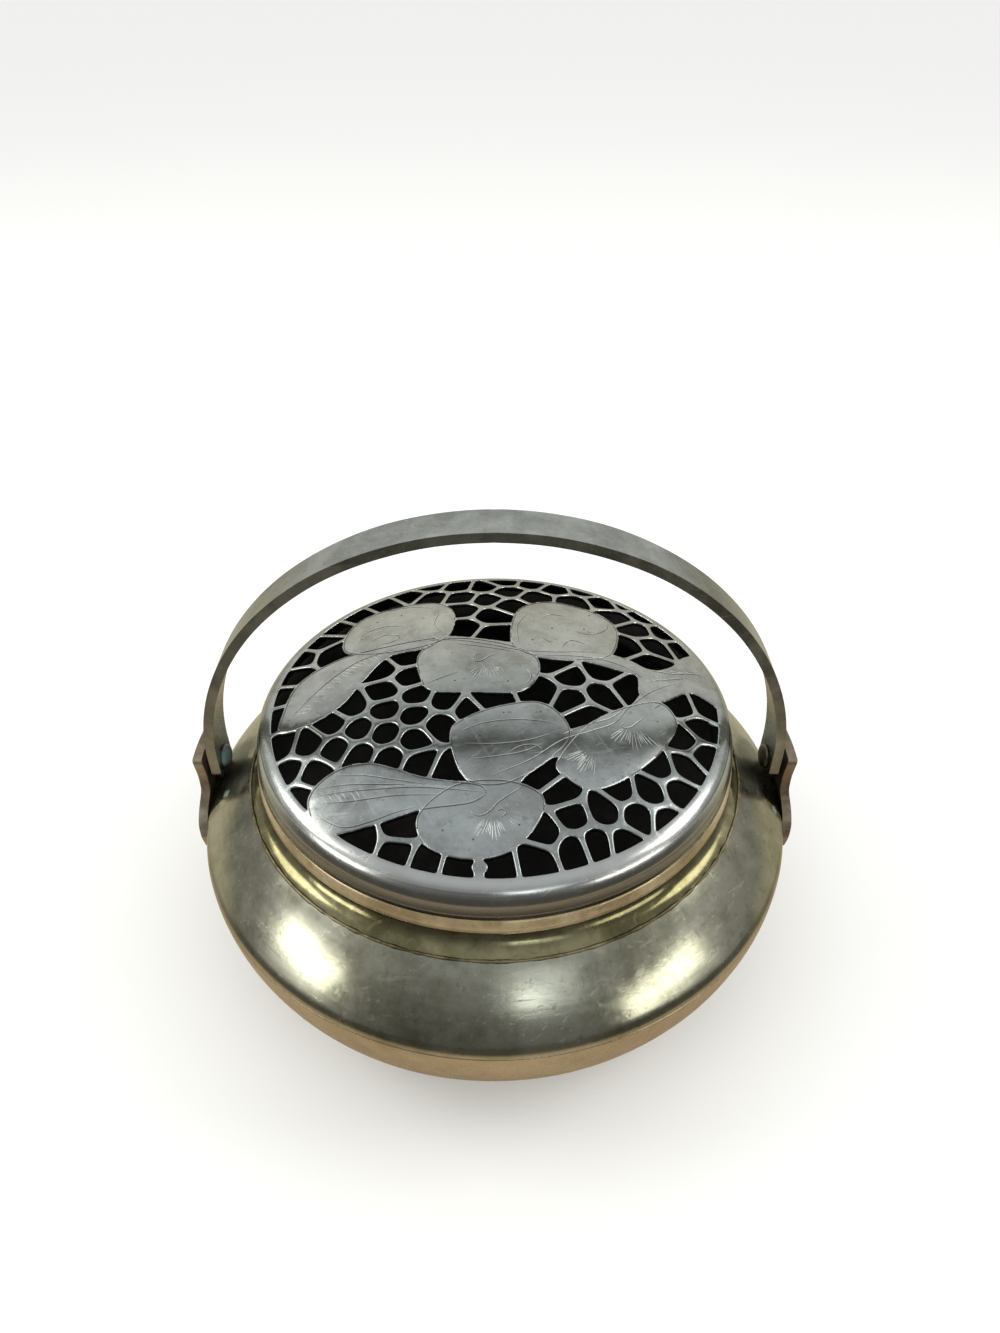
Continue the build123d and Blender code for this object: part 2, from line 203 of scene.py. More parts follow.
def metal(name, dark, mid, light, rough, turned=0.6, dirt=0.3, scratched=0.5,
          shade_spots=(), green=(), bare=1.0, uneven=1.0, pierced=False):
    """Old copper alloy: cloudy tone, fine marks round the axis, hairline scratches, dirt and verdigris.
    Shade spots and green are (x, y, z, reach) places in millimetres where painted shade and verdigris lie."""
    finish = bpy.data.materials.new(name)
    finish.use_nodes = True
    wires = Wires(finish.node_tree)
    times, plus, ease, mix = wires.times, wires.plus, wires.ease, wires.mix
    place = wires.node("ShaderNodeTexCoord").outputs["Object"]

    def noise(scale, detail, roughness=0.55, at=place, warp=0.0):
        """Grain of one size, between zero and one."""
        grain = {"Vector": at, "Scale": scale, "Detail": detail, "Roughness": roughness, "Distortion": warp}
        return wires.node("ShaderNodeTexNoise", grain).outputs["Fac"]

    def near(spots, raggedness):
        """One near any of the spots and fading out raggedly, zero elsewhere."""
        total = 0.0
        for x, y, z, reach in spots:
            ends = {0: place, 1: (x * mm, y * mm, z * mm)}
            apart = wires.node("ShaderNodeVectorMath", ends, operation="DISTANCE")
            share = ease(apart.outputs["Value"], reach * mm, reach * 0.2 * mm)
            total = wires.calc("MAXIMUM", total, share)
        return ease(plus(total, times(raggedness, 1.2)), 0.95, 1.25)

    # Round the upright axis: radius, height and a little of the angle
    x, y, z = wires.split(place)
    radius = wires.calc("SQRT", plus(times(x, x), times(y, y)))
    angle = wires.calc("ARCTAN2", y, x)
    turning = noise(950, 3, 0.6, at=wires.join(radius, times(angle, 0.004), z))

    cloud = noise(34, 6, 0.6, warp=0.3)
    fine = noise(210, 5, 0.65)
    hair = 0.0
    for tilt, lean in ((0.5, 0.1), (-0.9, 0.2), (1.5, -0.1), (2.5, 0.3)):
        stretch = {"Vector": place, "Scale": (1.0, 45.0, 1.0), "Rotation": (lean, tilt * 0.4, tilt)}
        stretched = wires.node("ShaderNodeMapping", stretch, vector_type="TEXTURE")
        line = ease(noise(900, 1, 0.4, at=stretched.outputs["Vector"]), 0.69, 0.74)
        hair = wires.calc("MAXIMUM", hair, line)
    hair = times(hair, scratched)

    tone = wires.ramp(mix(0.35, cloud, fine), ((0.41, dark), (0.5, mid), (0.59, light)))
    patches = times(ease(noise(75, 7, 0.7, warp=0.6), 0.52, 0.70), dirt)
    tone = mix(patches, tone, tuple(0.42 * c for c in mid))
    tone = mix(times(hair, 0.5), tone, light)
    specks = times(ease(noise(620, 2, 0.5), 0.64, 0.72), dirt)
    tone = mix(times(specks, 0.6), tone, tuple(0.35 * c for c in mid))
    tone = mix(times(ease(noise(880, 2, 0.5), 0.64, 0.72), dirt), tone, light)
    gloss = ease(mix(0.55, cloud, mix(turned, fine, turning)), 0.32, 0.68, rough - 0.06, rough + 0.09)
    if shade_spots:
        # Dark, rougher patches of painted shade round the shade spots
        spot_shade = near(shade_spots, noise(160, 5, 0.7))
        tone = mix(times(spot_shade, 0.5), tone, (0.06, 0.06, 0.05))
        gloss = plus(gloss, times(spot_shade, 0.2))
    if green:
        grown_over = near(green, noise(420, 4, 0.7))
        tone = mix(times(grown_over, 0.75), tone, (0.15, 0.27, 0.28))
        gloss = plus(gloss, times(grown_over, 0.35))
        bare = wires.minus(1.0, times(grown_over, 0.8))
    if pierced:
        # Warmer towards the back; a painted highlight along the cuts' edges; painted shade down in the cuts,
        # on the inner wall and under the sheet; a painted highlight on the front of the rim; a painted dark
        # reflection low on the wall, strongest in front
        back = ease(plus(y, times(cloud, 0.03)), -0.012, 0.036)
        tone = mix(0.7, tone, mix(back, (0.95, 1.02, 1.05), (0.96, 0.93, 0.77)), "MULTIPLY")
        cut = wires.node("ShaderNodeAttribute", attribute_name="depth").outputs["Fac"]
        # Painted highlight along the rounded edges of the cuts
        worn = times(ease(cut, 0.015, 0.10), ease(cut, 0.48, 0.34))
        tone = mix(times(worn, 0.75), tone, (0.74, 0.79, 0.80))
        # Painted shade down in the cuts and on the deep inside faces
        tone = mix(ease(cut, 0.5, 1.0, 0.0, 0.85), tone, (0.10, 0.098, 0.09))
        # Painted highlight on the rim, at the front only
        rim_highlight = times(ease(radius, 0.0500, 0.0522), ease(y, -0.015, -0.035, 0.0, 0.7))
        tone = mix(rim_highlight, tone, (0.66, 0.67, 0.64))
        # Painted dark reflection low on the lid's wall, strongest at the front
        low = times(ease(z, 0.0640, 0.0600), ease(y, -0.030, -0.050, 0.25, 0.75))
        tone = mix(low, tone, (0.11, 0.12, 0.125))

    height = mix(0.5, noise(120, 5, 0.6), mix(turned, fine, turning))
    height = mix(times(hair, 0.35), height, (0.0, 0.0, 0.0))
    relief = wires.node("ShaderNodeBump", {"Height": height, "Strength": 0.10, "Distance": 0.3 * mm * uneven})
    wires.feed(wires.tree.nodes["Principled BSDF"], {
        "Base Color": tone,
        "Roughness": plus(gloss, times(hair, 0.12)),
        "Metallic": bare,
        "Normal": relief.outputs["Normal"],
    })
    return finish


bowl_metal = metal("warm paktong", (0.46, 0.41, 0.31), (0.54, 0.49, 0.39), (0.60, 0.56, 0.46), 0.24)
# Near black for every inside face: soot, and painted shade where little light gets into the vessel.
soot_and_shade = metal(
    "soot_and_shade", (0.012, 0.011, 0.010), (0.020, 0.018, 0.016), (0.04, 0.036, 0.032), 0.75,
    turned=0.0, scratched=0.0, bare=0.15,
)

bowl = lathe(
    [(0, foot_recess), (foot_inner_radius - recess_slope, foot_recess), (foot_inner_radius, 0.0),
     (foot_radius - foot_edge, 0.0)]
    + arc(bowl_center, bowl_curve, -80.5, 0, 44),
    arc(bowl_center, bowl_curve - sheet, 0, -90, 36)
    + [(foot_inner_radius - recess_slope, foot_recess + sheet), (0, foot_recess + sheet)],
)
lower_bowl = finished("lower_bowl_shell", bowl, (bowl_metal, soot_and_shade), "vessel_metal", "vessel", "lower_bowl")
round_edges(lower_bowl, 0.3)

# The shoulder is the vessel's upper half, turned over at the widest line and let in to the neck.
# It is soldered to the lower bowl all round, and its metal has gone olive grey.
turn_radius, turn_angle = 5.0, 40.0
seam_radius, seam_height = 58.8, 48.8
turn_center = (widest_radius - turn_radius, widest_height)
turn_end = arc(turn_center, turn_radius, turn_angle, turn_angle, 1)[0]
inward = (-math.cos(math.radians(turn_angle)), -math.sin(math.radians(turn_angle)))
chord = (seam_radius - turn_end[0], seam_height - turn_end[1])
shoulder_curve = (chord[0] ** 2 + chord[1] ** 2) / (2 * (chord[0] * inward[0] + chord[1] * inward[1]))
shoulder_center = (turn_end[0] + inward[0] * shoulder_curve, turn_end[1] + inward[1] * shoulder_curve)
seam_angle = math.degrees(math.atan2(seam_height - shoulder_center[1], seam_radius - shoulder_center[0]))

shoulder_metal = metal(
    "olive paktong", (0.31, 0.305, 0.22), (0.41, 0.405, 0.31), (0.50, 0.495, 0.40), 0.18, dirt=0.5,
    # Painted shade beside the ears and under the handle's ends; the green spots are verdigris.
    shade_spots=((67, 3, 44, 13), (-67, 3, 44, 13), (62, -6, 47, 9), (-62, -6, 47, 9)),
    green=((68.8, -11, 40.5, 2.6), (-66, -9, 44, 2.6)),
)
shoulder = lathe(
    arc(turn_center, turn_radius, 0, turn_angle, 14)
    + arc(shoulder_center, shoulder_curve, turn_angle + 0.4, seam_angle, 22),
    arc(shoulder_center, shoulder_curve - sheet, seam_angle, turn_angle, 16)
    + arc(turn_center, turn_radius - sheet, turn_angle - 4, 0, 10),
)
shoulder = finished("shoulder_shell", shoulder, (shoulder_metal, soot_and_shade), "vessel_metal", "vessel", "shoulder")
round_edges(shoulder, 0.2)

# The neck collar is a yellow brass cove that rises into the upright lip under the lid.
# A hand-run line of solder, lumpy and stained, holds it on the shoulder's edge.
lip_radius, lip_sheet, lip_top, lip_edge = 54.0, 1.2, 60.8, 0.25
cove_top, lip_middle = 54.0, 57.0
cove_drop, cove_run = cove_top - seam_height, seam_radius - lip_radius
cove_radius = (cove_run**2 + cove_drop**2) / (2 * cove_run)
cove_center = (lip_radius + cove_radius, cove_top)
cove_angle = math.degrees(math.atan2(seam_height - cove_top, seam_radius - cove_center[0])) % 360
collar_foot = arc(shoulder_center, shoulder_curve - sheet, seam_angle, seam_angle, 1)[0]
inner_lip_radius = lip_radius - lip_sheet

collar_brass = metal(
    "neck brass", (0.14, 0.125, 0.06), (0.21, 0.19, 0.10), (0.33, 0.30, 0.17), 0.14, turned=0.9)
collar = lathe(
    arc(cove_center, cove_radius, cove_angle, 180, 16)
    + [(lip_radius, lip_middle), (lip_radius, lip_top - lip_edge), (lip_radius - lip_edge, lip_top)],
    [(inner_lip_radius + lip_edge, lip_top), (inner_lip_radius, lip_top - lip_edge),
     (inner_lip_radius, cove_top), (inner_lip_radius + 0.4, cove_top - 2.4),
     (collar_foot[0] - lip_sheet, collar_foot[1]), (collar_foot[0], collar_foot[1])],
)
finished("neck_collar_shell", collar, (collar_brass, soot_and_shade), "collar_brass", "vessel", "neck_collar")


def named_tree(name, **sizes):
    """The wires of a new Geometry Nodes tree with one named input for each size, and what comes in."""
    tree = bpy.data.node_groups.new(name, "GeometryNodeTree")
    tree.interface.new_socket("Geometry", in_out="INPUT", socket_type="NodeSocketGeometry")
    kinds = {int: "NodeSocketInt", float: "NodeSocketFloat", bpy.types.Material: "NodeSocketMaterial"}
    for size, value in sizes.items():
        kind = kinds[type(value)]
        socket = tree.interface.new_socket(size.replace("_", " "), in_out="INPUT", socket_type=kind)
        socket.default_value = value
    tree.interface.new_socket("Geometry", in_out="OUTPUT", socket_type="NodeSocketGeometry")
    wires = Wires(tree)
    return wires, wires.node("NodeGroupInput").outputs


def swept(wires, curve, swelling, radius, sides, capped=False):
    """A round bar along a curve, swelling and thinning on its way."""
    ring = wires.node("GeometryNodeCurvePrimitiveCircle", {"Resolution": sides, "Radius": radius})
    bar = {"Curve": curve, "Profile Curve": ring.outputs["Curve"], "Scale": swelling, "Fill Caps": capped}
    return wires.node("GeometryNodeCurveToMesh", bar).outputs["Mesh"]


def painted(wires, geometry, finish):
    """The end of a tree: everything made real and given its finish."""
    realize = wires.node("GeometryNodeRealizeInstances", {"Geometry": geometry})
    coat = {"Geometry": realize.outputs["Geometry"], "Material": finish}
    paint = wires.node("GeometryNodeSetMaterial", coat)
    wires.node("NodeGroupOutput", {"Geometry": paint.outputs["Geometry"]})


def grown(name, start, tree, **sizes):
    """Runs a tree on a starting mesh, with other sizes where some are given, and returns what it makes."""
    seed_object = bpy.data.objects.new(name, start)
    bpy.context.scene.collection.objects.link(seed_object)
    growth = seed_object.modifiers.new(name, "NODES")
    growth.node_group = tree
    for socket in tree.interface.items_tree:
        key = socket.name.replace(" ", "_")
        if socket.in_out == "INPUT" and key in sizes:
            growth[socket.identifier] = sizes[key]
    graph = bpy.context.evaluated_depsgraph_get()
    graph.update()
    mesh = bpy.data.meshes.new_from_object(seed_object.evaluated_get(graph), depsgraph=graph)
    bpy.data.objects.remove(seed_object)
    return mesh


def rails(name, lines, closed=False):
    """A mesh of loose edges that runs along lines of points given in millimetres."""
    mesh = bpy.data.meshes.new(name)
    points, edges = [], []
    for line in lines:
        first = len(points)
        points += [(x * mm, y * mm, z * mm) for x, y, z in line]
        edges += [(first + k, first + k + 1) for k in range(len(line) - 1)]
        if closed:
            edges.append((first + len(line) - 1, first))
    mesh.from_pydata(points, edges, [])
    return mesh


solder = metal(
    "old solder", (0.10, 0.08, 0.04), (0.22, 0.18, 0.10), (0.36, 0.31, 0.19), 0.42, turned=0.0, dirt=0.8)
bead_wires, given = named_tree("solder_bead", Bead_radius=0.42 * mm, Seed=4)
to_curve = bead_wires.node("GeometryNodeMeshToCurve", {"Mesh": given["Geometry"]})
lump = bead_wires.node("ShaderNodeTexNoise", {"Scale": 420.0}, noise_dimensions="4D")
bead_wires.feed(lump, {"W": given["Seed"]})
lumpy = bead_wires.ease(lump.outputs["Fac"], 0.35, 0.68, 0.55, 1.25)
bead_bar = swept(bead_wires, to_curve.outputs["Curve"], lumpy, given["Bead radius"], 8)
painted(bead_wires, bead_bar, solder)

bead_line = []
for a in np.linspace(0, 2 * math.pi, 700, endpoint=False):
    r = seam_radius - 0.1 + beaten(a, seam_height)
    bead_line.append((r * math.cos(a), r * math.sin(a), seam_height))
bead = bmesh.new()
bead.from_mesh(grown("solder_run", rails("bead_line", [bead_line], closed=True), bead_wires.tree))
finished("solder_run", bead, (solder,), "collar_brass", "vessel")

# The seat band is a brass strip bent and soldered round the foot of the lip, its ends lapped at the front.
# The lid's edge rests on it.
band_bottom, band_bend, band_top = 54.2, 55.6, 57.6
band_foot_radius, band_edge_radius = 56.3, 55.8
band_lap = math.radians(271.5)


def lapped(angle, height):
    """The strip's free end stands a little proud where it laps over its start."""
    past = (angle - band_lap) % (2 * math.pi)
    return -0.22 + 0.22 * math.exp(-past / 0.16) + 0.03 * math.sin(3 * angle)


band_brass = metal(
    "seat band brass", (0.38, 0.28, 0.15), (0.52, 0.40, 0.23), (0.66, 0.54, 0.34), 0.28, turned=0.9, bare=0.6)
band = lathe(
    [(lip_radius + 0.3, band_bottom), (band_foot_radius - 0.3, band_bottom),
     (band_foot_radius, band_bottom + 0.3),
     (band_foot_radius - 0.1, band_bend), (band_edge_radius + 0.05, band_top - 0.35),
     (band_edge_radius - 0.3, band_top), (lip_radius + 0.3, band_top)],
    [],
    turns=360,
    wall=lapped,
)
finished("seat_band_strip", band, (band_brass,), "band_brass", "vessel", "seat_band")

# The lid is one raised sheet of white copper, a plain steep wall and a shallow field, that lifts off.
# It was pierced with a net of scales round fruit, leaves and branches that were left solid and engraved.
lid_sheet, lid_inner, lid_edge_radius = 1.2, 54.08, 55.6
lid_wall_radius, lid_wall_top, lid_wall_bulge = 55.2, 60.6, (54.45, 63.5)
field_radius, field_height, dome_rise = 52.3, 65.1, 9.0
dome_radius = (field_radius**2 + dome_rise**2) / (2 * dome_rise)
dome_center_height = field_height + dome_rise - dome_radius
rib_width, rib_rounding = 1.02, 0.28
hole_rim, smallest_hole_area = 0.9, 5.6
cell_softness, edge_softness = 0.60, 0.22

motifs = {
    "fruit at the back left": [
        (-37.5, 22), (-34, 30), (-26, 33.5), (-17, 34.5), (-11.5, 30), (-10, 22), (-13, 13), (-25, 10),
        (-36, 13),
    ],
    "fruit at the back right": [
        (3.8, 18), (6.5, 29.5), (14, 34.5), (24, 31.5), (30, 25), (30, 16), (26, 8), (14, 5.5), (5, 9),
    ],
    "fruit in the upper middle": [
        (-18, 8), (-17, -1), (-14, -5.8), (-4, -6.8), (6, -6.5), (10.2, 0), (9, 7), (0, 12), (-12, 14),
    ],
    "fruit in the middle": [
        (-9.5, -19), (-6, -14.5), (2, -11), (10, -9.8), (15, -14), (16, -20), (10, -27), (2, -32),
        (-6, -30.5),
    ],
    "fruit at the right": [
        (13, -26), (15, -30), (20, -32.3), (27, -29), (34, -22.5), (39.5, -14.5), (40.5, -9), (36, -5.5),
        (22, -14),
    ],
    "fruit at the front": [
        (-15, -38), (-14, -44), (-8, -47.2), (0, -47.4), (6, -44), (10, -37.5), (9, -33.5), (2, -31),
        (-8, -32),
    ],
    "long leaf at the left": [
        (-48.5, -6), (-46.5, 4), (-38, 10.5), (-26, 13), (-14, 14.5), (-16, 10.5), (-25, 8.5),
        (-30.5, 0), (-34, -6.5), (-41, -11.5), (-48, -12),
    ],
    "leaf at the front left": [
        (-38.5, -32), (-34, -26.2), (-26, -25.2), (-14, -30), (-2, -32.5), (-4, -36), (-15, -37.3),
        (-24, -39.6), (-34, -40),
    ],
    "leaf at the right rim": [
        (28, 9.5), (36.5, 6.3), (42, 9), (47, 15.5), (56, 20), (56, -3), (46, 0.5), (38, -5), (33, -4),
        (33, 3),
    ],
    "branch to the right rim": [
        (16, -17.5), (24, -13.5), (30, -8.5), (34, -3), (38, -4.5), (34, -11), (26, -19), (14, -24),
        (4, -28), (8, -21),
    ],
    "upper branch": [
        (-12, 15), (0, 12.5), (14, 9.8), (28, 9.8), (35, 6.5), (32, 3.5), (20, 6), (8, 6.3), (-4, 8),
        (-14, 11),
    ],
    "stalk to the front fruit": [
        (16, -24), (9.5, -26), (5, -32), (-1, -37), (-5, -36), (0, -30), (6, -24), (12, -20),
    ],
    "tie at the front": [
        (-3.5, -46), (-3.1, -47.7), (-4.4, -49.3), (-3.4, -50.8), (-4, -54), (-1.2, -54), (-1.8, -50.8),
        (-0.9, -49.3), (-2.2, -47.7), (-1.8, -46),
    ],
    "rim at the front left": [(-42, -34), (-38, -34.5), (-33, -40), (-30.5, -42), (-34, -46), (-42, -40)],
}
hole_middles = [
    (-50.5, 1), (-48.5, 7.5), (-47.5, 15), (-40, 14.5), (-43.5, 21), (-40.5, 27), (-35.5, 32), (-29, 37),
    (-23, 41), (-17, 38.5), (-17.5, 48), (-10.5, 46), (-9, 37), (-8.5, 28.5), (-8, 19), (-3.2, 45),
    (-2.3, 35), (-0.8, 25), (0, 15.5), (-26.5, 3.5), (-21, 7.5), (-19.5, -0.5), (2.5, 49.5), (3.5, 41),
    (3.8, 31), (10, 48), (16, 45), (10.5, 37.5), (20.5, 36.5), (24, 46), (28.5, 38.5), (34.5, 40),
    (39, 34), (31, 29.5), (35.5, 24.5), (43.5, 25.5), (32.5, 15), (39.5, 17.5), (46.5, 19.5), (37.5, 9.3),
    (13.5, 3.5), (17, -0.8), (25, 2.5), (30, -2.5), (24, -5.5), (17, -8), (11, -5.5), (20.5, -13),
    (42.5, -5), (48.5, -4), (46.5, -11), (41, -15.5), (46, -19.5), (41, -23.5), (34.5, -24.5), (38.5, -30),
    (32, -31), (25.5, -31.5), (22, -36.5), (29, -37), (35, -37.5), (15.5, -38.5), (13.5, -33.5),
    (10, -29.5),
    (10, -42), (15.5, -45.5), (20, -44), (26, -43.5), (8.5, -48), (0.5, -49.5), (-50.5, -7), (-47, -16.5),
    (-40.5, -17), (-44, -24), (-38, -25.5), (-41, -31), (-36, -12.5), (-32, -8), (-25, -4.5), (-17.5, -7),
    (-29.5, -15.5), (-24, -10.5), (-17.5, -13), (-34, -20), (-28.5, -22.5), (-23.5, -17.5), (-17, -20),
    (-12, -16.5), (-11, -9), (-5.5, -12), (-2, -9.5), (-22, -24.5), (-15.5, -26.5), (-9.5, -28.5),
    (-26.5, -43.5), (-18, -40.5), (-19, -46), (-13, -48), (-7, -49.5),
]


def between(a, b, c, d, t):
    """A smooth run from b to c, where a comes before them and d after."""
    return 0.5 * (2 * b + (c - a) * t + (2 * a - 5 * b + 4 * c - d) * t**2 + (3 * b - a - 3 * c + d) * t**3)


def smooth_line(points, steps=14):
    """A smooth closed line through the points."""
    p = np.array(points, float)
    before, after, later = np.roll(p, 1, 0), np.roll(p, -1, 0), np.roll(p, -2, 0)
    t = np.linspace(0, 1, steps, endpoint=False)[None, :, None]
    return between(*(q[:, None, :] for q in (before, p, after, later)), t).reshape(-1, 2)


def within(points, line):
    """Which points lie inside a closed line."""
    x, y = points[:, 0], points[:, 1]
    odd = np.zeros(len(points), bool)
    for (ax, ay), (bx, by) in zip(line, np.roll(line, -1, 0)):
        if ay != by:
            odd ^= ((ay > y) != (by > y)) & (x < (bx - ax) * (y - ay) / (by - ay) + ax)
    return odd


# How deep a point of the field is inside a hole of the net, in millimetres; metal is below zero
grid_step, grid_edge = 0.3, 54.0
motif_reach, walls_counted = 34.0, 7
ticks = np.arange(-grid_edge, grid_edge + grid_step / 2, grid_step)
plan = np.stack(np.meshgrid(ticks, ticks), -1).reshape(-1, 2)
seeds = np.array(hole_middles, float)
gaps = ((plan[:, None, :] - seeds[None]) ** 2).sum(-1)
nearest = gaps.argmin(1)
own = gaps[np.arange(len(plan)), nearest]
spacing = np.sqrt(((seeds[nearest][:, None, :] - seeds[None]) ** 2).sum(-1))
spacing[np.arange(len(plan)), nearest] = np.inf
walls = (gaps - own[:, None]) / (2 * spacing) - rib_width / 2
walls[np.arange(len(plan)), nearest] = np.inf
closest = np.sort(walls, 1)[:, :walls_counted]


def soft_least(values, softness):
    """The least of several distances, rounded where two of them are nearly equal."""
    least = values.min(0)
    return least - softness * np.log(np.exp(-(values - least) / softness).sum(0))


limits = [soft_least(closest.T, cell_softness), field_radius - hole_rim - np.hypot(plan[:, 0], plan[:, 1])]
for outline in motifs.values():
    line = smooth_line(outline)
    away = np.full(len(plan), np.inf)
    near = (abs(plan - line.mean(0)).max(1)) < motif_reach
    away[near] = np.sqrt(((plan[near][:, None, :] - line[None]) ** 2).sum(-1).min(1))
    away[within(plan, line)] *= -1
    limits.append(away)
depth = soft_least(np.stack(limits), edge_softness)
depth = depth.reshape(len(ticks), len(ticks))


def depth_at(x, y):
    """The depth at the grid's point nearest to a place."""
    return depth[int(round((y - ticks[0]) / grid_step)), int(round((x - ticks[0]) / grid_step))]


def level_lines(level):
    """Closed lines along which the depth passes a level, with the deeper side on the left."""
    above = depth > level
    mixed = above[:-1, :-1].astype(int) + above[:-1, 1:] + above[1:, 1:] + above[1:, :-1]
    follows = {}
    for i, j in zip(*np.nonzero((mixed > 0) & (mixed < 4))):
        corners = [(i, j), (i, j + 1), (i + 1, j + 1), (i + 1, j)]
        deep = [above[c] for c in corners]
        for k in range(4):
            if deep[k] and not deep[(k + 1) % 4]:
                m = k
                while deep[(m - 1) % 4]:
                    m -= 1
                leaving = (corners[k], corners[(k + 1) % 4])
                entering = (corners[m % 4], corners[(m - 1) % 4])
                follows[leaving] = entering
    lines = []
    while follows:
        start, step = follows.popitem()
        chain = [start]
        while step != start:
            chain.append(step)
            step = follows.pop(step)
        line = []
        for a, b in chain:
            share = (level - depth[a]) / (depth[b] - depth[a])
            line.append((ticks[0] + (a[1] + (b[1] - a[1]) * share) * grid_step,
                         ticks[0] + (a[0] + (b[0] - a[0]) * share) * grid_step))
        lines.append(np.array(line))
    return lines


def run_along(line):
    """How far each point of a line is from its first point, measured along the line."""
    return np.concatenate([[0], np.cumsum(np.hypot(*np.diff(line, axis=0).T))])


def evened(line, spacing):
    """The same closed line with a slight smoothing and evenly spaced points."""
    for _ in range(2):
        line = (np.roll(line, 1, 0) + 2 * line + np.roll(line, -1, 0)) / 4
    closed = np.vstack([line, line[:1]])
    run = run_along(closed)
    at = np.linspace(0, run[-1], max(12, int(run[-1] / spacing)), endpoint=False)
    return np.stack([np.interp(at, run, closed[:, 0]), np.interp(at, run, closed[:, 1])], 1)


def enclosed(line):
    """The area inside a closed line."""
    return 0.5 * np.sum(line[:, 0] * np.roll(line[:, 1], -1) - np.roll(line[:, 0], -1) * line[:, 1])


hole_spacing, outer_turns = 0.42, 360
inner_rows, inner_columns, inner_edge, inner_depth = 1.9, 2.2, 51.0, 1.1
holes = [line for line in level_lines(-rib_rounding) if abs(enclosed(line)) > smallest_hole_area]
hole_lines = [evened(line, hole_spacing) for line in holes]
turn = np.linspace(0, 2 * math.pi, outer_turns, endpoint=False)
outer_line = np.stack([field_radius * np.cos(turn), field_radius * np.sin(turn)], 1)
deep_inside = []
for row, y in enumerate(np.arange(-inner_edge, inner_edge + 0.1, inner_rows)):
    for x in np.arange(-inner_edge, inner_edge + 0.1, inner_columns) + (row % 2) * inner_columns / 2:
        if math.hypot(x, y) < inner_edge + 0.2 and depth_at(x, y) < -inner_depth:
            deep_inside.append((x, y))
net_points = np.vstack([outer_line] + hole_lines + [np.array(deep_inside)])
net_edges, first = [], 0
for line in [outer_line] + hole_lines:
    net_edges += [(first + k, first + (k + 1) % len(line)) for k in range(len(line))]
    first += len(line)
triangles = delaunay_2d_cdt([tuple(p) for p in net_points], net_edges, [], 0, 1e-6, False)
flat_points = np.array([tuple(p) for p in triangles[0]])
flat_faces = np.array([tuple(f) for f in triangles[2]])
middles = flat_points[flat_faces].mean(1)
solid = within(middles, outer_line)
for line in hole_lines:
    low, high = line.min(0), line.max(0)
    close = ((middles >= low) & (middles <= high)).all(1)
    solid[np.flatnonzero(close)[within(middles[close], line)]] = False
flat_faces = flat_faces[solid]

# Towards the middle of the hole, kept with each point of a hole's edge for the rounding
into_hole = np.zeros((len(flat_points), 3), np.float32)
first = outer_turns
for line in hole_lines:
    along = np.roll(line, -1, 0) - np.roll(line, 1, 0)
    along /= np.hypot(*along.T)[:, None]
    into_hole[first:first + len(line), 0] = -along[:, 1]
    into_hole[first:first + len(line), 1] = along[:, 0]
    first += len(line)
net_mesh = bpy.data.meshes.new("net_plan")
flat_places = [(x * mm, y * mm, 0.0) for x, y in flat_points]
net_mesh.from_pydata(flat_places, [], [tuple(map(int, f)) for f in flat_faces])
pull = net_mesh.attributes.new("into_hole", "FLOAT_VECTOR", "POINT")
pull.data.foreach_set("vector", into_hole.ravel())

white_copper = metal(
    "white copper", (0.36, 0.36, 0.33), (0.46, 0.468, 0.445), (0.55, 0.56, 0.54), 0.22,
    turned=0.15, dirt=0.6, scratched=0.4, uneven=2.5, pierced=True,
    green=((49.5, -9, 66.3, 1.8), (49.3, -15, 66.3, 1.8), (45.5, -24, 66.3, 1.8), (43, -27, 66.3, 1.5),
           (-10.5, -17, 72.6, 1.2)),
)


def dome_over(wires, given):
    """The dome's height over each point of a flat plan."""
    where = wires.node("GeometryNodeInputPosition").outputs["Position"]
    x, y, z = wires.split(where)
    across = wires.plus(wires.times(x, x), wires.times(y, y))
    reach = wires.times(given["Dome radius"], given["Dome radius"])
    return wires.plus(wires.calc("SQRT", wires.minus(reach, across)), given["Dome center height"])


def raised(wires, geometry, height):
    """The geometry with each point moved up."""
    move = {"Geometry": geometry, "Offset": wires.join(z=height)}
    return wires.node("GeometryNodeSetPosition", move).outputs["Geometry"]


# Each step of the sheet's cut edge goes into the hole and down by a share of the rounding,
# and the step with no share of its own takes the straight part between the two rounded ones
edge_steps = [(0.5, 0.134), (0.366, 0.366), (0.134, 0.5), (0.0, None), (-0.4, 0.2), (-0.6, 0.4)]
net_wires, given = named_tree(
    "pierced_sheet", Sheet=lid_sheet * mm, Edge_rounding=rib_rounding * mm,
    Dome_radius=dome_radius * mm, Dome_center_height=dome_center_height * mm)
thickness, rounding = given["Sheet"], given["Edge rounding"]
pull = net_wires.node("GeometryNodeInputNamedAttribute", {"Name": "into_hole"}, data_type="FLOAT_VECTOR")
pull = pull.outputs["Attribute"]
length = net_wires.node("ShaderNodeVectorMath", {0: pull}, operation="LENGTH")
faces_beside = net_wires.node("GeometryNodeInputMeshEdgeNeighbors").outputs["Face Count"]
open_edge = net_wires.calc("COMPARE", faces_beside, 1, 0.1)
hole_side = net_wires.calc("GREATER_THAN", length.outputs["Value"], 0.5)
at_hole = net_wires.node("FunctionNodeBooleanMath", {0: open_edge, 1: hole_side}, operation="AND")
rounded = sum(down or 0.0 for into, down in edge_steps)
straight = net_wires.minus(thickness, net_wires.times(rounding, rounded))
sheet_geometry, selection = given["Geometry"], at_hole.outputs[0]
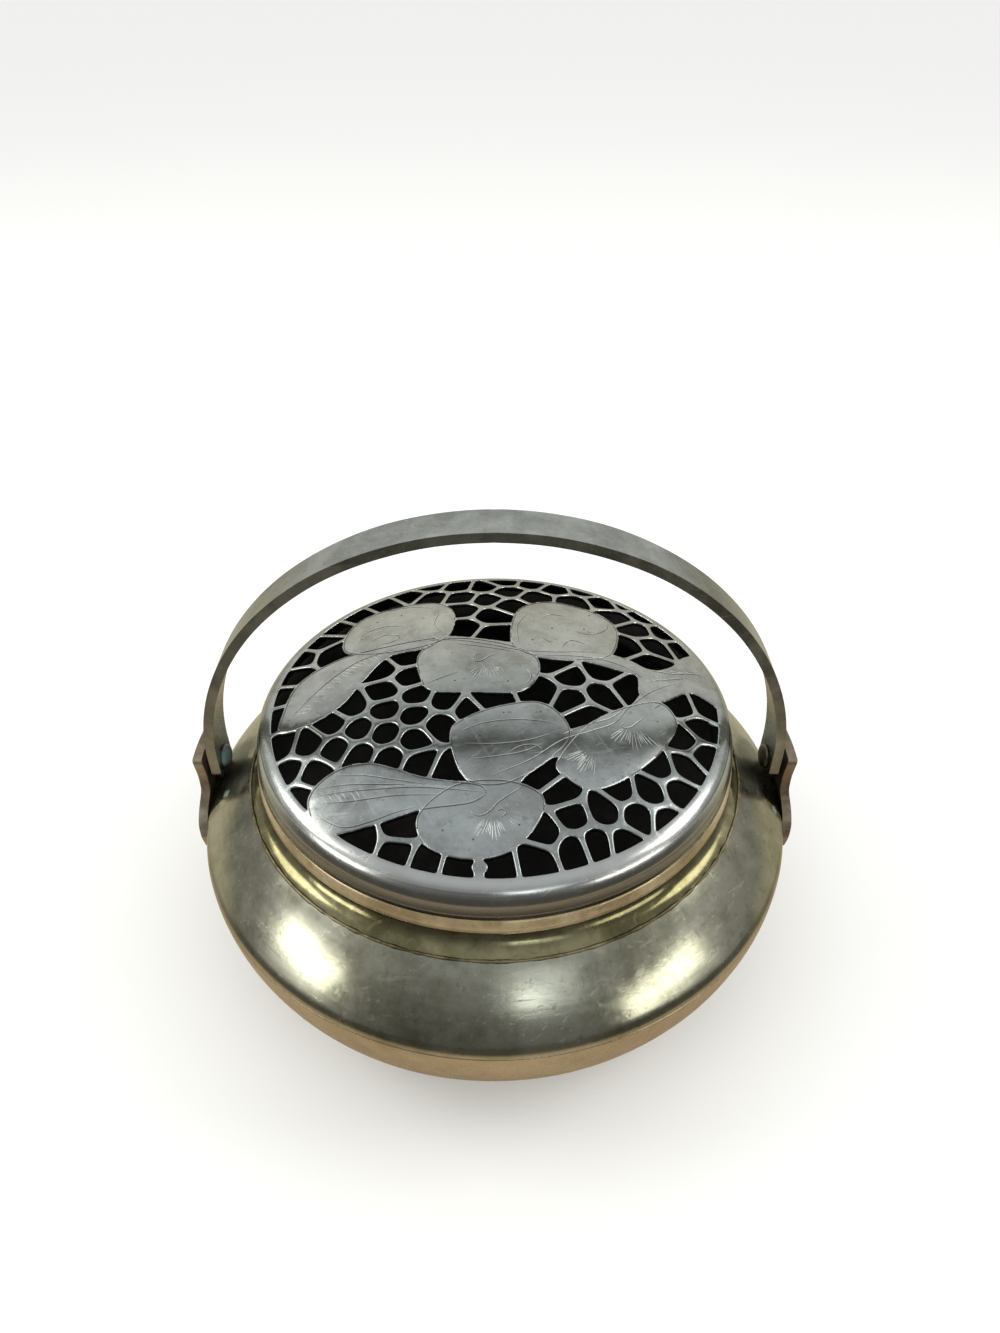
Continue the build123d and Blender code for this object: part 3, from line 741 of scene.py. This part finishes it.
for into, down in edge_steps:
    fall = straight if down is None else net_wires.times(rounding, down)
    shift = {0: pull, "Scale": net_wires.times(rounding, into)}
    shift = net_wires.node("ShaderNodeVectorMath", operation="SCALE", inputs=shift).outputs["Vector"]
    fall = net_wires.join(z=net_wires.times(fall, -1.0))
    step = net_wires.node("ShaderNodeVectorMath", {0: shift, 1: fall}).outputs["Vector"]
    wall = {"Mesh": sheet_geometry, "Selection": selection, "Offset": step, "Offset Scale": 1.0}
    extrude = net_wires.node("GeometryNodeExtrudeMesh", mode="EDGES", inputs=wall)
    sheet_geometry, selection = extrude.outputs["Mesh"], extrude.outputs["Top"]
under = raised(net_wires, given["Geometry"], net_wires.times(thickness, -1.0))
turn_over = net_wires.node("GeometryNodeFlipFaces", {"Mesh": under})
both = net_wires.node("GeometryNodeJoinGeometry", {"Geometry": sheet_geometry})
net_wires.feed(both, {"Geometry": turn_over.outputs["Mesh"]})
welded = {"Geometry": both.outputs["Geometry"], "Distance": 0.02 * mm}
weld = net_wires.node("GeometryNodeMergeByDistance", welded)
painted(net_wires, raised(net_wires, weld.outputs["Geometry"], dome_over(net_wires, given)), white_copper)
net = grown("pierced_field", net_mesh, net_wires.tree)


def through(a, b, c, count):
    """Points on the circle through three points, from the first to the last."""
    d = 2 * (a[0] * (b[1] - c[1]) + b[0] * (c[1] - a[1]) + c[0] * (a[1] - b[1]))
    sa, sb, sc = (p[0] ** 2 + p[1] ** 2 for p in (a, b, c))
    center = (
        (sa * (b[1] - c[1]) + sb * (c[1] - a[1]) + sc * (a[1] - b[1])) / d,
        (sa * (c[0] - b[0]) + sb * (a[0] - c[0]) + sc * (b[0] - a[0])) / d,
    )
    start, end = (math.degrees(math.atan2(p[1] - center[1], p[0] - center[0])) for p in (a, c))
    return arc(center, math.dist(a, center), start, end, count)


def even(angle, height):
    """A wall without hammer marks."""
    return 0.0


rim = lathe(
    [(lid_inner + 0.2, band_top), (lid_edge_radius - 0.3, band_top), (lid_edge_radius, band_top + 0.3),
     (lid_edge_radius - 0.2, band_top + 1.5)]
    + through((lid_wall_radius, lid_wall_top), lid_wall_bulge, (field_radius, field_height), 14),
    [(field_radius, field_height - lid_sheet), (lid_inner, lid_wall_top + lid_sheet / 2),
     (lid_inner, band_top + 0.2)],
    turns=outer_turns, wall=even,
)
# The ring of faces between the rim's two field edges is open to the net
field_edge = (field_radius + 0.02) * mm
for face in list(rim.faces):
    if all(math.hypot(vert.co.x, vert.co.y) < field_edge for vert in face.verts):
        rim.faces.remove(face)
rim.from_mesh(net)
bmesh.ops.remove_doubles(rim, verts=rim.verts, dist=0.03 * mm)
for face in rim.faces:
    face.material_index = 0
# The depth below the field's top drives the lid's painted shade; the inner wall and the sheet's underside
# count as fully deep and are painted dark as shade.
fade = rim.verts.layers.float.new("depth")
for vert in rim.verts:
    r = math.hypot(vert.co.x, vert.co.y) / mm
    if r < field_radius - 0.02:
        vert[fade] = dome_center_height + math.sqrt(dome_radius**2 - r * r) - vert.co.z / mm
    else:
        inside = r < lid_inner + 0.1 and vert.co.z / mm < field_height - 0.9
        vert[fade] = lid_sheet if inside else 0.0
finished("lid_sheet", rim, (white_copper,), "lid_white_copper", "lid", "pierced_lid")

# The lid's engraving is cut with a graver after piercing: outlines, midribs, fans of rays and a few
# punched dots, each stroke swelling and running out again. The strokes are painted lighter as a highlight
# on the lit wall of each cut, with a dark line of painted shade beside them; the punched dots take the same
# painted shade.
def open_line(points, steps=10):
    """A smooth line through the points that keeps its two ends."""
    p = np.array(points, float)
    p = np.vstack([2 * p[0] - p[1], p, 2 * p[-1] - p[-2]])
    t = np.linspace(0, 1, steps)[:, None]
    runs = [between(a, b, c, d, t) for a, b, c, d in zip(p[:-3], p[1:-2], p[2:-1], p[3:])]
    return np.vstack([run[:-1] for run in runs] + [p[-2:-1]])


def ray(x, y, angle, start, end, bend=0.0):
    """Five points straight out from a point, or bending back a little when bend is above zero."""
    shares = np.linspace(start, end, 5)
    return [(x + r * math.cos(angle - bend * r), y + r * math.sin(angle - bend * r)) for r in shares]


def fan(middle, first, last, inner, outer, count):
    """Rays round a point, from one angle to another, with a hand's uneven lengths."""
    rays = []
    for k in range(count):
        angle = math.radians(first + (last - first) * (k + 0.25 * math.sin(5.1 * k)) / (count - 1))
        start, end = inner * (1 + 0.2 * math.sin(3.7 * k)), outer * (0.86 + 0.14 * math.sin(7.3 * k))
        rays.append(ray(*middle, angle, start, end))
    return rays


def feathers(midrib, lean, length, gap, start=0.0, end=1.0):
    """Short strokes that leave a line on one side at a lean in degrees, left of it when above zero."""
    line = open_line(midrib, 14)
    run = run_along(line)
    barbs = []
    for k, at in enumerate(np.arange(start * run[-1], end * run[-1], gap)):
        x, y = np.interp(at, run, line[:, 0]), np.interp(at, run, line[:, 1])
        ahead_x, ahead_y = np.interp(at + 0.5, run, line[:, 0]), np.interp(at + 0.5, run, line[:, 1])
        angle = math.atan2(ahead_y - y, ahead_x - x) + math.radians(lean)
        reach = length * (0.8 + 0.2 * math.sin(2.9 * k))
        barbs.append(ray(x, y, angle, 0.05 * reach, reach, 0.4 / reach))
    return barbs


front_leaf = [(-37.7, -31.4), (-30.8, -31.4), (-23.5, -31.7), (-16.4, -32), (-9.3, -32.9), (-1, -34)]
left_leaf = [(-46.8, -9.1), (-42.6, -2.5), (-37.8, 3.5), (-32.6, 8.1), (-26.2, 10.7), (-21, 13)]
branch = [(-2.4, -30.7), (3.3, -28.2), (8.3, -25.4), (14.3, -20.5), (20.4, -17.5), (26, -14.2),
          (29.5, -9.3), (36, -2), (44, 4)]
upper_branch = [(-21.4, 13.5), (-11.4, 13.4), (-3, 11.3), (5.2, 8.7), (13.4, 8.4), (21.7, 9.7),
                (28.4, 9.8), (34, 7.8), (41, 7), (50, 9)]
strokes = [open_line(line) for line in (
    front_leaf, left_leaf, branch, upper_branch,
    [(0.7, 7.2), (-1.7, 5.6), (-3.3, 4), (-4.5, 4), (-5, 5.4), (-4.4, 6.6), (-3, 6.5)],
    [(32.8, -11.3), (31.5, -12.9), (29.7, -14.7), (28.1, -15.3), (27.4, -14.7), (28.5, -13.5)],
    [(6.7, -31.8), (3.9, -33.8), (1.1, -35.8), (-0.6, -37.7), (-2.3, -38.9), (-4, -38.8), (-4.8, -37.6)],
    [(0.4, -38), (1.6, -37.6), (2.3, -38.5), (1.5, -39.2)],
    [(-37.3, -34.2), (-34.4, -37), (-29.8, -39.4), (-25, -38.9), (-19.5, -37.3), (-14.7, -36.4)],
    [(-33, -27), (-27, -28), (-20, -30), (-13.6, -31.6)],
    [(-36.5, -29.6), (-30, -29.8), (-22, -30.8), (-14, -31.8)],
    [(-36, -33.2), (-29, -33.8), (-20, -33.6), (-10, -34.2)],
    [(-8.4, -19.1), (-2.6, -16.4), (4.9, -15.3), (12.3, -15.9), (15.3, -18.1)],
    [(-6.9, -21.9), (0.4, -22.1), (7, -21), (12.2, -18.8)],
    [(-5, -26), (1, -25.2), (6, -24), (10.5, -21.5)],
    [(3, -24.3), (5.5, -22.6), (8.5, -22.2), (10, -23.8), (7.5, -24.6)],
    [(10, 6.7), (21.5, 7.5), (29.6, 5.9), (35.7, 1.5)], [(-10, 11.6), (-2, 9.6), (6, 7.4)],
    [(-34.5, 28.1), (-28.8, 32.4), (-19.6, 32.3), (-14.5, 28.8)],
    [(-16, 33), (-14.6, 27), (-15.2, 21.5), (-12.4, 15.5)],
    [(-31, 16), (-27, 18.5), (-23.5, 17), (-25.5, 14.6), (-29, 14.4)], [(-33, 21), (-28, 23), (-22.5, 22)],
    [(19, 18.7), (23.2, 17.9), (27.4, 21.3), (28.5, 25.5)], [(5.6, 10.5), (5.4, 19.5), (8.3, 27)],
    [(11, 15), (12.4, 13.2), (14, 12.5)], [(15.5, 10), (18, 14), (22, 13)],
    [(11, 24), (14, 26.5), (18, 26)],
    [(36.2, 5.7), (43.2, 6.7), (48, 9.6)], [(35.7, 1.5), (41, 3.8), (46.5, 6.4)],
    [(35.2, -8.1), (39.8, -4), (44.4, -1.3), (49, -0.5)],
    [(-17, -4), (-12, -1.5), (-8, 0.5)], [(6, 3), (8.2, -1), (7, -4.5)],
    [(14.5, -19), (20, -15.6), (26, -12.4), (31, -6)],
)]
strokes += fan((-2, 4.2), 232, 318, 3.0, 7.2, 13) + fan((30, -13.6), 222, 312, 2.6, 8.2, 15)
strokes += fan((21.6, -21.5), 205, 262, 3.2, 8.6, 14) + fan((-0.3, -37.6), 232, 300, 2.6, 7.0, 13)
strokes += fan((0.8, -38), 318, 352, 2.8, 5.6, 4) + fan((8, 0), 300, 345, 1.2, 3.4, 5)
strokes += feathers(front_leaf, 26, 3.4, 1.0, 0.36, 0.82) + feathers(front_leaf, -28, 4.2, 1.5, 0.0, 0.26)
strokes += feathers(front_leaf, 30, 4.0, 1.5, 0.0, 0.22) + feathers(left_leaf, -42, 4.6, 1.25, 0.06, 0.86)
strokes += feathers(left_leaf, 30, 2.6, 1.6, 0.1, 0.8) + feathers([(34, 3), (42, 5), (52, 9)], -35, 3.2, 1.3)
strokes += feathers([(36, 7), (43, 9), (50, 13)], -38, 2.8, 1.4)
outlines = []
for name, outline in motifs.items():
    if name.startswith(("fruit", "long leaf", "leaf at the front")):
        cx, cy = np.mean(outline, 0)
        inset = [(px + (cx - px) * 0.018, py + (cy - py) * 0.018) for px, py in outline]
        outlines.append([(x, y) for x, y in smooth_line(inset)])
dots = [
    (24, 28), (9, 13), (-30, 26), (-24, 28), (-9, -3), (3, -3.5), (36, -12), (19, -26), (-10, -42),
    (5, -41),
    (-33, 18), (22, 20), (14, 19), (33, -17), (-4, -44), (10, -13), (2, -13.5), (-3, -20),
]

# Painted shade beside the cuts and in the punched dots, and a lighter painted highlight on the cuts
shadow_line = metal(
    "painted shade of the cuts", (0.08, 0.082, 0.075), (0.11, 0.112, 0.10), (0.15, 0.152, 0.14), 0.4,
    turned=0.0, scratched=0.0,
)
white_line = metal(
    "painted highlight of the cuts", (0.60, 0.62, 0.60), (0.70, 0.72, 0.70), (0.80, 0.82, 0.80), 0.34,
    turned=0.0, scratched=0.0,
)
graver, given = named_tree(
    "graver_strokes", Stroke_radius=0.12 * mm, Run_out=1.0, Dome_radius=dome_radius * mm,
    Dome_center_height=dome_center_height * mm, Finish=white_line)
to_curve = graver.node("GeometryNodeMeshToCurve", {"Mesh": given["Geometry"]})
share = graver.node("GeometryNodeSplineParameter").outputs["Factor"]
swelling = graver.calc("POWER", graver.times(graver.times(share, 4.0), graver.minus(1.0, share)), 0.5)
swelling = graver.calc("MAXIMUM", swelling, graver.minus(1.0, given["Run out"]))
swelling = graver.calc("MAXIMUM", swelling, 0.12)
sunk = graver.minus(dome_over(graver, given), graver.times(given["Stroke radius"], 0.35))
lifted = raised(graver, to_curve.outputs["Curve"], sunk)
cut = swept(graver, lifted, swelling, given["Stroke radius"], 6, capped=True)
painted(graver, cut, given["Finish"])
shadowed_strokes = 36
drawn_edge, safe_depth = 51.6, 0.28


def on_the_sheet(lines):
    """The parts of lines that lie on solid metal of the field, not over a hole."""
    runs = []
    for line in lines:
        kept = []
        for x, y in line:
            if math.hypot(x, y) > drawn_edge or depth_at(x, y) > -safe_depth:
                if len(kept) > 2:
                    runs.append(kept)
                kept = []
            else:
                kept.append((x, y, 0.0))
        if len(kept) > 2:
            runs.append(kept)
    return runs


outlines = [line + line[:1] for line in outlines]
# Painted shade: a dark line just beside each stroke and outline, all to the same side
beside_strokes = [[(x + 0.12, y - 0.2) for x, y in line] for line in strokes[:shadowed_strokes]]
beside_outlines = [[(x * 0.996, y - 0.24) for x, y in line] for line in outlines]
punched = [[(x - 0.15, y, 0), (x, y + 0.05, 0), (x + 0.15, y, 0)] for x, y in dots]
engraving = bmesh.new()
for runs, radius, run_out, tone in (
    (on_the_sheet(strokes), 0.10, 1.0, white_line),
    (on_the_sheet(beside_strokes), 0.10, 1.0, shadow_line),
    (on_the_sheet(outlines), 0.11, 0.0, white_line),
    (on_the_sheet(beside_outlines), 0.12, 0.0, shadow_line),
    (punched, 0.20, 0.0, shadow_line),
):
    run_mesh = grown("graver_run", rails("graver_path", runs), graver.tree,
                     Stroke_radius=radius * mm, Run_out=run_out, Finish=tone)
    made = len(engraving.faces)
    engraving.from_mesh(run_mesh)
    engraving.faces.ensure_lookup_table()
    for k in range(made, len(engraving.faces)):
        engraving.faces[k].material_index = 1 if tone == shadow_line else 0
finished("lid_engraving", engraving, (white_line, shadow_line), "lid_white_copper", "lid")

# The ears are two bell-shaped brass plates that stand up outside the handle's ends.
# Each is soldered by its wide foot to the vessel's side, and its narrow top carries a rivet.
ear_brass = metal(
    "ear brass", (0.20, 0.155, 0.10), (0.30, 0.245, 0.17), (0.44, 0.38, 0.29), 0.32,
    turned=0.0, dirt=0.5, bare=0.8,
)
ear_plate = 2.2
ear_foot, ear_foot_top, ear_top = 24.2, 41.5, 51.2


def plate(rows, across):
    """A closed plate from rows of (outer point, inner point, half width, bend) across its width."""
    body = bmesh.new()
    skins = []
    for side in (0, 1):
        skin = []
        for row in rows:
            line = []
            for u in np.linspace(-1, 1, across):
                y = u * row[2]
                radius, height = row[side]
                x = math.copysign(math.sqrt(radius * radius - y * y), radius) if row[3] else radius
                line.append(body.verts.new((x * mm, y * mm, height * mm)))
            skin.append(line)
        skins.append(skin)
    outer, inner = skins
    for i in range(len(rows) - 1):
        for k in range(across - 1):
            body.faces.new((outer[i][k], outer[i][k + 1], outer[i + 1][k + 1], outer[i + 1][k]))
            body.faces.new((inner[i][k], inner[i + 1][k], inner[i + 1][k + 1], inner[i][k + 1]))
        for k in (0, across - 1):
            body.faces.new((outer[i][k], outer[i + 1][k], inner[i + 1][k], inner[i][k]))
    for i in (0, len(rows) - 1):
        for k in range(across - 1):
            body.faces.new((outer[i][k], outer[i][k + 1], inner[i][k + 1], inner[i][k]))
    return body


def vessel_side(height):
    """Outer radius of the vessel at a height, in millimetres."""
    if height <= widest_height:
        return bowl_center[0] + math.sqrt(bowl_curve**2 - (widest_height - height) ** 2)
    if height <= turn_end[1]:
        return turn_center[0] + math.sqrt(turn_radius**2 - (height - widest_height) ** 2)
    return shoulder_center[0] + math.sqrt(shoulder_curve**2 - (height - shoulder_center[1]) ** 2)


ear_widths = [(ear_foot, 0.6), (24.5, 4.5), (25.6, 9.5), (28.5, 13.0), (32.5, 13.4), (36.0, 11.4),
              (38.6, 8.6), (ear_foot_top, 6.6), (45.0, 6.0), (50.2, 6.0), (50.9, 5.8), (ear_top, 5.3)]
ear_faces = [(23.5, 70.8), (26.0, 71.9), (29.0, 72.9), (35.0, 73.6), (38.0, 73.2), (42.0, 72.2),
             (47.0, 72.2), (ear_top, 72.65)]
heights = np.concatenate([
    np.linspace(ear_foot, 26, 8), np.linspace(26.6, 50, 44), np.linspace(50.3, ear_top, 6)])
widths = np.interp(heights, *zip(*ear_widths))
faces = np.interp(heights, *zip(*ear_faces))
for _ in range(3):
    faces[1:-1] = (faces[:-2] + 2 * faces[1:-1] + faces[2:]) / 4
    widths[9:-6] = (widths[8:-7] + 2 * widths[9:-6] + widths[10:-5]) / 4
for side, name in ((1, "ear_right"), (-1, "ear_left")):
    rows = []
    for height, width, face in zip(heights, widths, faces):
        back = max(face - ear_plate, vessel_side(height) - 0.15 if height < ear_foot_top else 0)
        rows.append(((side * (face - 0.02), height), (side * min(back, face - 0.5), height), width, True))
    ear = plate(rows, 22)
    bmesh.ops.remove_doubles(ear, verts=ear.verts, dist=0.01 * mm)
    ear = finished(name + "_plate", ear, (ear_brass,), "ear_brass", "vessel", name)
    round_edges(ear, 0.35, 40)

# The handle is one flat strap of paktong bent to an arch.
# Its two blunt round ends stand inside the ears and turn on the rivets.
handle_metal = metal(
    "handle paktong", (0.24, 0.25, 0.225), (0.34, 0.355, 0.32), (0.46, 0.475, 0.44), 0.27,
    turned=0.0, dirt=0.5,
)
pivot_height = 47.3
handle_outer, handle_sheet, handle_width = 69.0, 2.3, 9.6
handle_top, arch_height = 112.9, 50.0
handle_inner, handle_rise = handle_outer - handle_sheet, handle_top - arch_height
half_width = handle_width / 2
end_radius = half_width + 0.3
rows = []
for drop in end_radius * np.concatenate([[0.998, 0.985, 0.95], np.linspace(0.9, 0.0, 10)]):
    z, half = pivot_height - drop, min(half_width, math.sqrt(end_radius**2 - drop**2))
    rows.append(((handle_outer, z), (handle_inner, z), half, False))
rows.append(((handle_outer, 48.8), (handle_inner, 48.8), half_width, False))
for a in np.linspace(0.0, math.pi / 2, 90)[:-1]:
    wear = 0.12 * math.sin(5 * a + 1.0) + 0.05 * math.sin(17 * a)
    outer = (handle_outer * math.cos(a), arch_height + handle_rise * math.sin(a))
    inner = (handle_inner * math.cos(a), arch_height + (handle_rise - handle_sheet) * math.sin(a))
    rows.append((outer, inner, half_width - 0.14 + wear, False))
mirrored = [((-o[0], o[1]), (-i[0], i[1]), half, bend) for o, i, half, bend in rows]
top = ((0.0, handle_top), (0.0, handle_top - handle_sheet), half_width - 0.1, False)
strap = plate(rows + [top] + mirrored[::-1], 13)
strap = finished("handle_strap", strap, (handle_metal,), "handle_brass", "handle", "handle")
round_edges(strap, 0.4, 40, 3)

# The rivets are two short brass pins, fixed in the ears, on which the handle turns.
# Each shank goes through handle and ear and is peened by hand to a low uneven dome at both ends.
rivet_brass = metal(
    "rivet brass", (0.15, 0.13, 0.10), (0.25, 0.23, 0.18), (0.38, 0.35, 0.28), 0.35,
    turned=0.0, dirt=0.5, green=((-66, -1.5, 48.5, 3.4), (-66, 1, 45, 2.4)),
)
rivet_radius, rivet_head_radius, rivet_head_height, rivet_rim = 1.6, 3.2, 1.5, 0.35
ear_inner_radius = 70.0
shank_start, shank_end = handle_inner - 0.05, ear_inner_radius + ear_plate
rivet_dome = rivet_head_height - rivet_rim
head = [(math.cos(a), math.sin(a)) for a in np.linspace(0, math.pi / 2, 8)]
outline = (
    [(0, shank_start - rivet_head_height)]
    + [(c * rivet_head_radius, shank_start - rivet_rim - s * rivet_dome) for c, s in head[::-1][1:]]
    + [(rivet_head_radius, shank_start), (rivet_radius, shank_start)]
    + [(rivet_radius, shank_end), (rivet_head_radius, shank_end)]
    + [(c * rivet_head_radius, shank_end + rivet_rim + s * rivet_dome) for c, s in head[:-1]]
    + [(0, shank_end + rivet_head_height)]
)


def peened(angle, height):
    """How unevenly the hammer spread a rivet's head."""
    return 0.9 * math.sin(2 * angle + height) + 0.7 * math.sin(3 * angle + 2.0) - 1.7


for side, name in ((1, "rivet_right"), (-1, "rivet_left")):
    rivet = lathe(outline, [], turns=40, wall=peened, closed=False)
    for vert in rivet.verts:
        x, y, z = vert.co
        vert.co = (side * z, x, y + pivot_height * mm)
    finished(name + "_pin", rivet, (rivet_brass,), "rivet_brass", "vessel", name)

# The floor is the plain pale ground of a product picture, a hair below the foot ring.
# What the metal mirrors of it is a brown table top round the piece, dark beyond it in front, light behind.
bpy.context.scene.view_settings.view_transform = "Standard"
floor_reach, floor_drop = 9.0, 0.2 * mm
wood_reach, wood_end, front_to_back = 0.108, 0.135, 0.06
corners = [(-floor_reach, -floor_reach), (floor_reach, -floor_reach), (floor_reach, floor_reach),
           (-floor_reach, floor_reach)]
floor_mesh = bpy.data.meshes.new("floor")
floor_mesh.from_pydata([(x, y, -floor_drop) for x, y in corners], [], [(0, 1, 2, 3)])
floor = bpy.data.objects.new("floor", floor_mesh)
bpy.context.scene.collection.objects.link(floor)
pale = bpy.data.materials.new("pale floor")
pale.use_nodes = True
ground = Wires(pale.node_tree)
spot = ground.node("ShaderNodeTexCoord").outputs["Object"]
reach = ground.node("ShaderNodeVectorMath", {0: spot}, operation="LENGTH").outputs["Value"]
rearward = ground.ease(ground.split(spot)[1], -front_to_back, front_to_back)
beyond = ground.mix(rearward, (0.08, 0.075, 0.065), (0.46, 0.43, 0.33))
wood = ground.mix(ground.ease(reach, wood_reach, wood_end), (0.50, 0.39, 0.26), beyond)
table = ground.node("ShaderNodeBsdfDiffuse", {"Color": wood}).outputs["BSDF"]
plain = pale.node_tree.nodes["Principled BSDF"]
ground.feed(plain, {"Base Color": (0.9, 0.9, 0.89, 1), "Roughness": 0.9})
mirrored_ray = ground.node("ShaderNodeLightPath").outputs["Is Glossy Ray"]
either = ground.node("ShaderNodeMixShader", {"Fac": mirrored_ray, 1: plain.outputs["BSDF"], 2: table})
ground.feed(pale.node_tree.nodes["Material Output"], {"Surface": either.outputs["Shader"]})
floor_mesh.materials.append(pale)

# The room that the metal mirrors is dim towards the front, lighter behind and high up at both sides.
# Everything else gets even white light from it, and six soft windows stand round the piece.
world = bpy.data.worlds.new("studio")
bpy.context.scene.world = world
world.use_nodes = True
sky = Wires(world.node_tree)
sideways, rearward, upward = sky.split(sky.node("ShaderNodeTexCoord").outputs["Generated"])


def sky_ramp(*stops):
    """The room's light by height, from (position, brightness, warmth) stops."""
    return sky.ramp(upward, [
        (position, (value * (1 + warmth), value, value * (1 - warmth))) for position, value, warmth in stops])


front_half = sky_ramp(
    (0.0, 0.12, 0.05), (0.25, 0.13, 0.04), (0.42, 0.15, 0.0), (0.62, 0.25, -0.01), (0.85, 0.48, -0.03),
    (1.0, 0.62, -0.03))
back_half = sky_ramp(
    (0.0, 0.60, 0.03), (0.25, 0.80, 0.0), (0.42, 0.92, -0.01), (0.60, 0.66, -0.03), (0.85, 0.52, -0.03),
    (1.0, 0.60, -0.03))
both_sides = sky_ramp(
    (0.0, 0.26, 0.03), (0.25, 0.30, 0.02), (0.5, 0.50, 0.0), (0.75, 0.95, 0.0), (1.0, 0.62, -0.03))
room = sky.mix(sky.ease(rearward, -0.6, 0.6, kind="SMOOTHSTEP"), front_half, back_half)
room = sky.mix(sky.ease(sky.calc("ABSOLUTE", sideways), 0.45, 0.85), room, both_sides)
mirrored_ray = sky.node("ShaderNodeLightPath").outputs["Is Glossy Ray"]
light_given = sky.mix(mirrored_ray, (1.0, 1.0, 0.99), room)
sky.feed(world.node_tree.nodes["Background"], {"Color": light_given, "Strength": 1.0})

aim_height = 0.05
for name, side, rise, wide, tall, radiance, tint in (
    ("window left", -64, 19, 0.40, 0.22, 4.4, (1.0, 1.0, 0.93)),
    ("window right", 55, 17, 0.50, 0.18, 3.8, (1.0, 1.0, 0.94)),
    ("window front right", 17, 36, 0.34, 0.26, 0.9, (0.90, 0.97, 1.0)),
    ("window pane", 12, 33, 0.15, 0.07, 3.6, (0.93, 0.98, 1.0)),
    ("high left", -97, 40, 0.42, 0.34, 4.2, (1.0, 1.0, 0.92)),
    ("high right", 95, 40, 0.42, 0.34, 4.2, (1.0, 1.0, 0.94)),
):
    lamp = bpy.data.lights.new(name, "AREA")
    lamp.shape, lamp.size, lamp.size_y, lamp.color = "RECTANGLE", wide, tall, tint
    lamp.energy = radiance * math.pi * wide * tall
    light = bpy.data.objects.new(name, lamp)
    side, rise = math.radians(side), math.radians(rise)
    light.location = (
        math.sin(side) * math.cos(rise), -math.cos(side) * math.cos(rise), math.sin(rise) + aim_height)
    light.rotation_euler = (-light.location).to_track_quat("-Z", "Y").to_euler()
    bpy.context.scene.collection.objects.link(light)

# The camera stands where the photograph was taken from, in front and above, looking down
lens = bpy.data.cameras.new("camera")
lens.lens, lens.sensor_fit, lens.sensor_height, lens.sensor_width = 24.0, "VERTICAL", 36.0, 27.0
lens.clip_start = 0.01
look_down = 38.63
camera = bpy.data.objects.new("camera", lens)
camera.location = (0.0012, -0.1576, 0.2014)
camera.rotation_euler = (math.radians(90 - look_down), 0, 0)
bpy.context.scene.collection.objects.link(camera)
bpy.context.scene.camera = camera
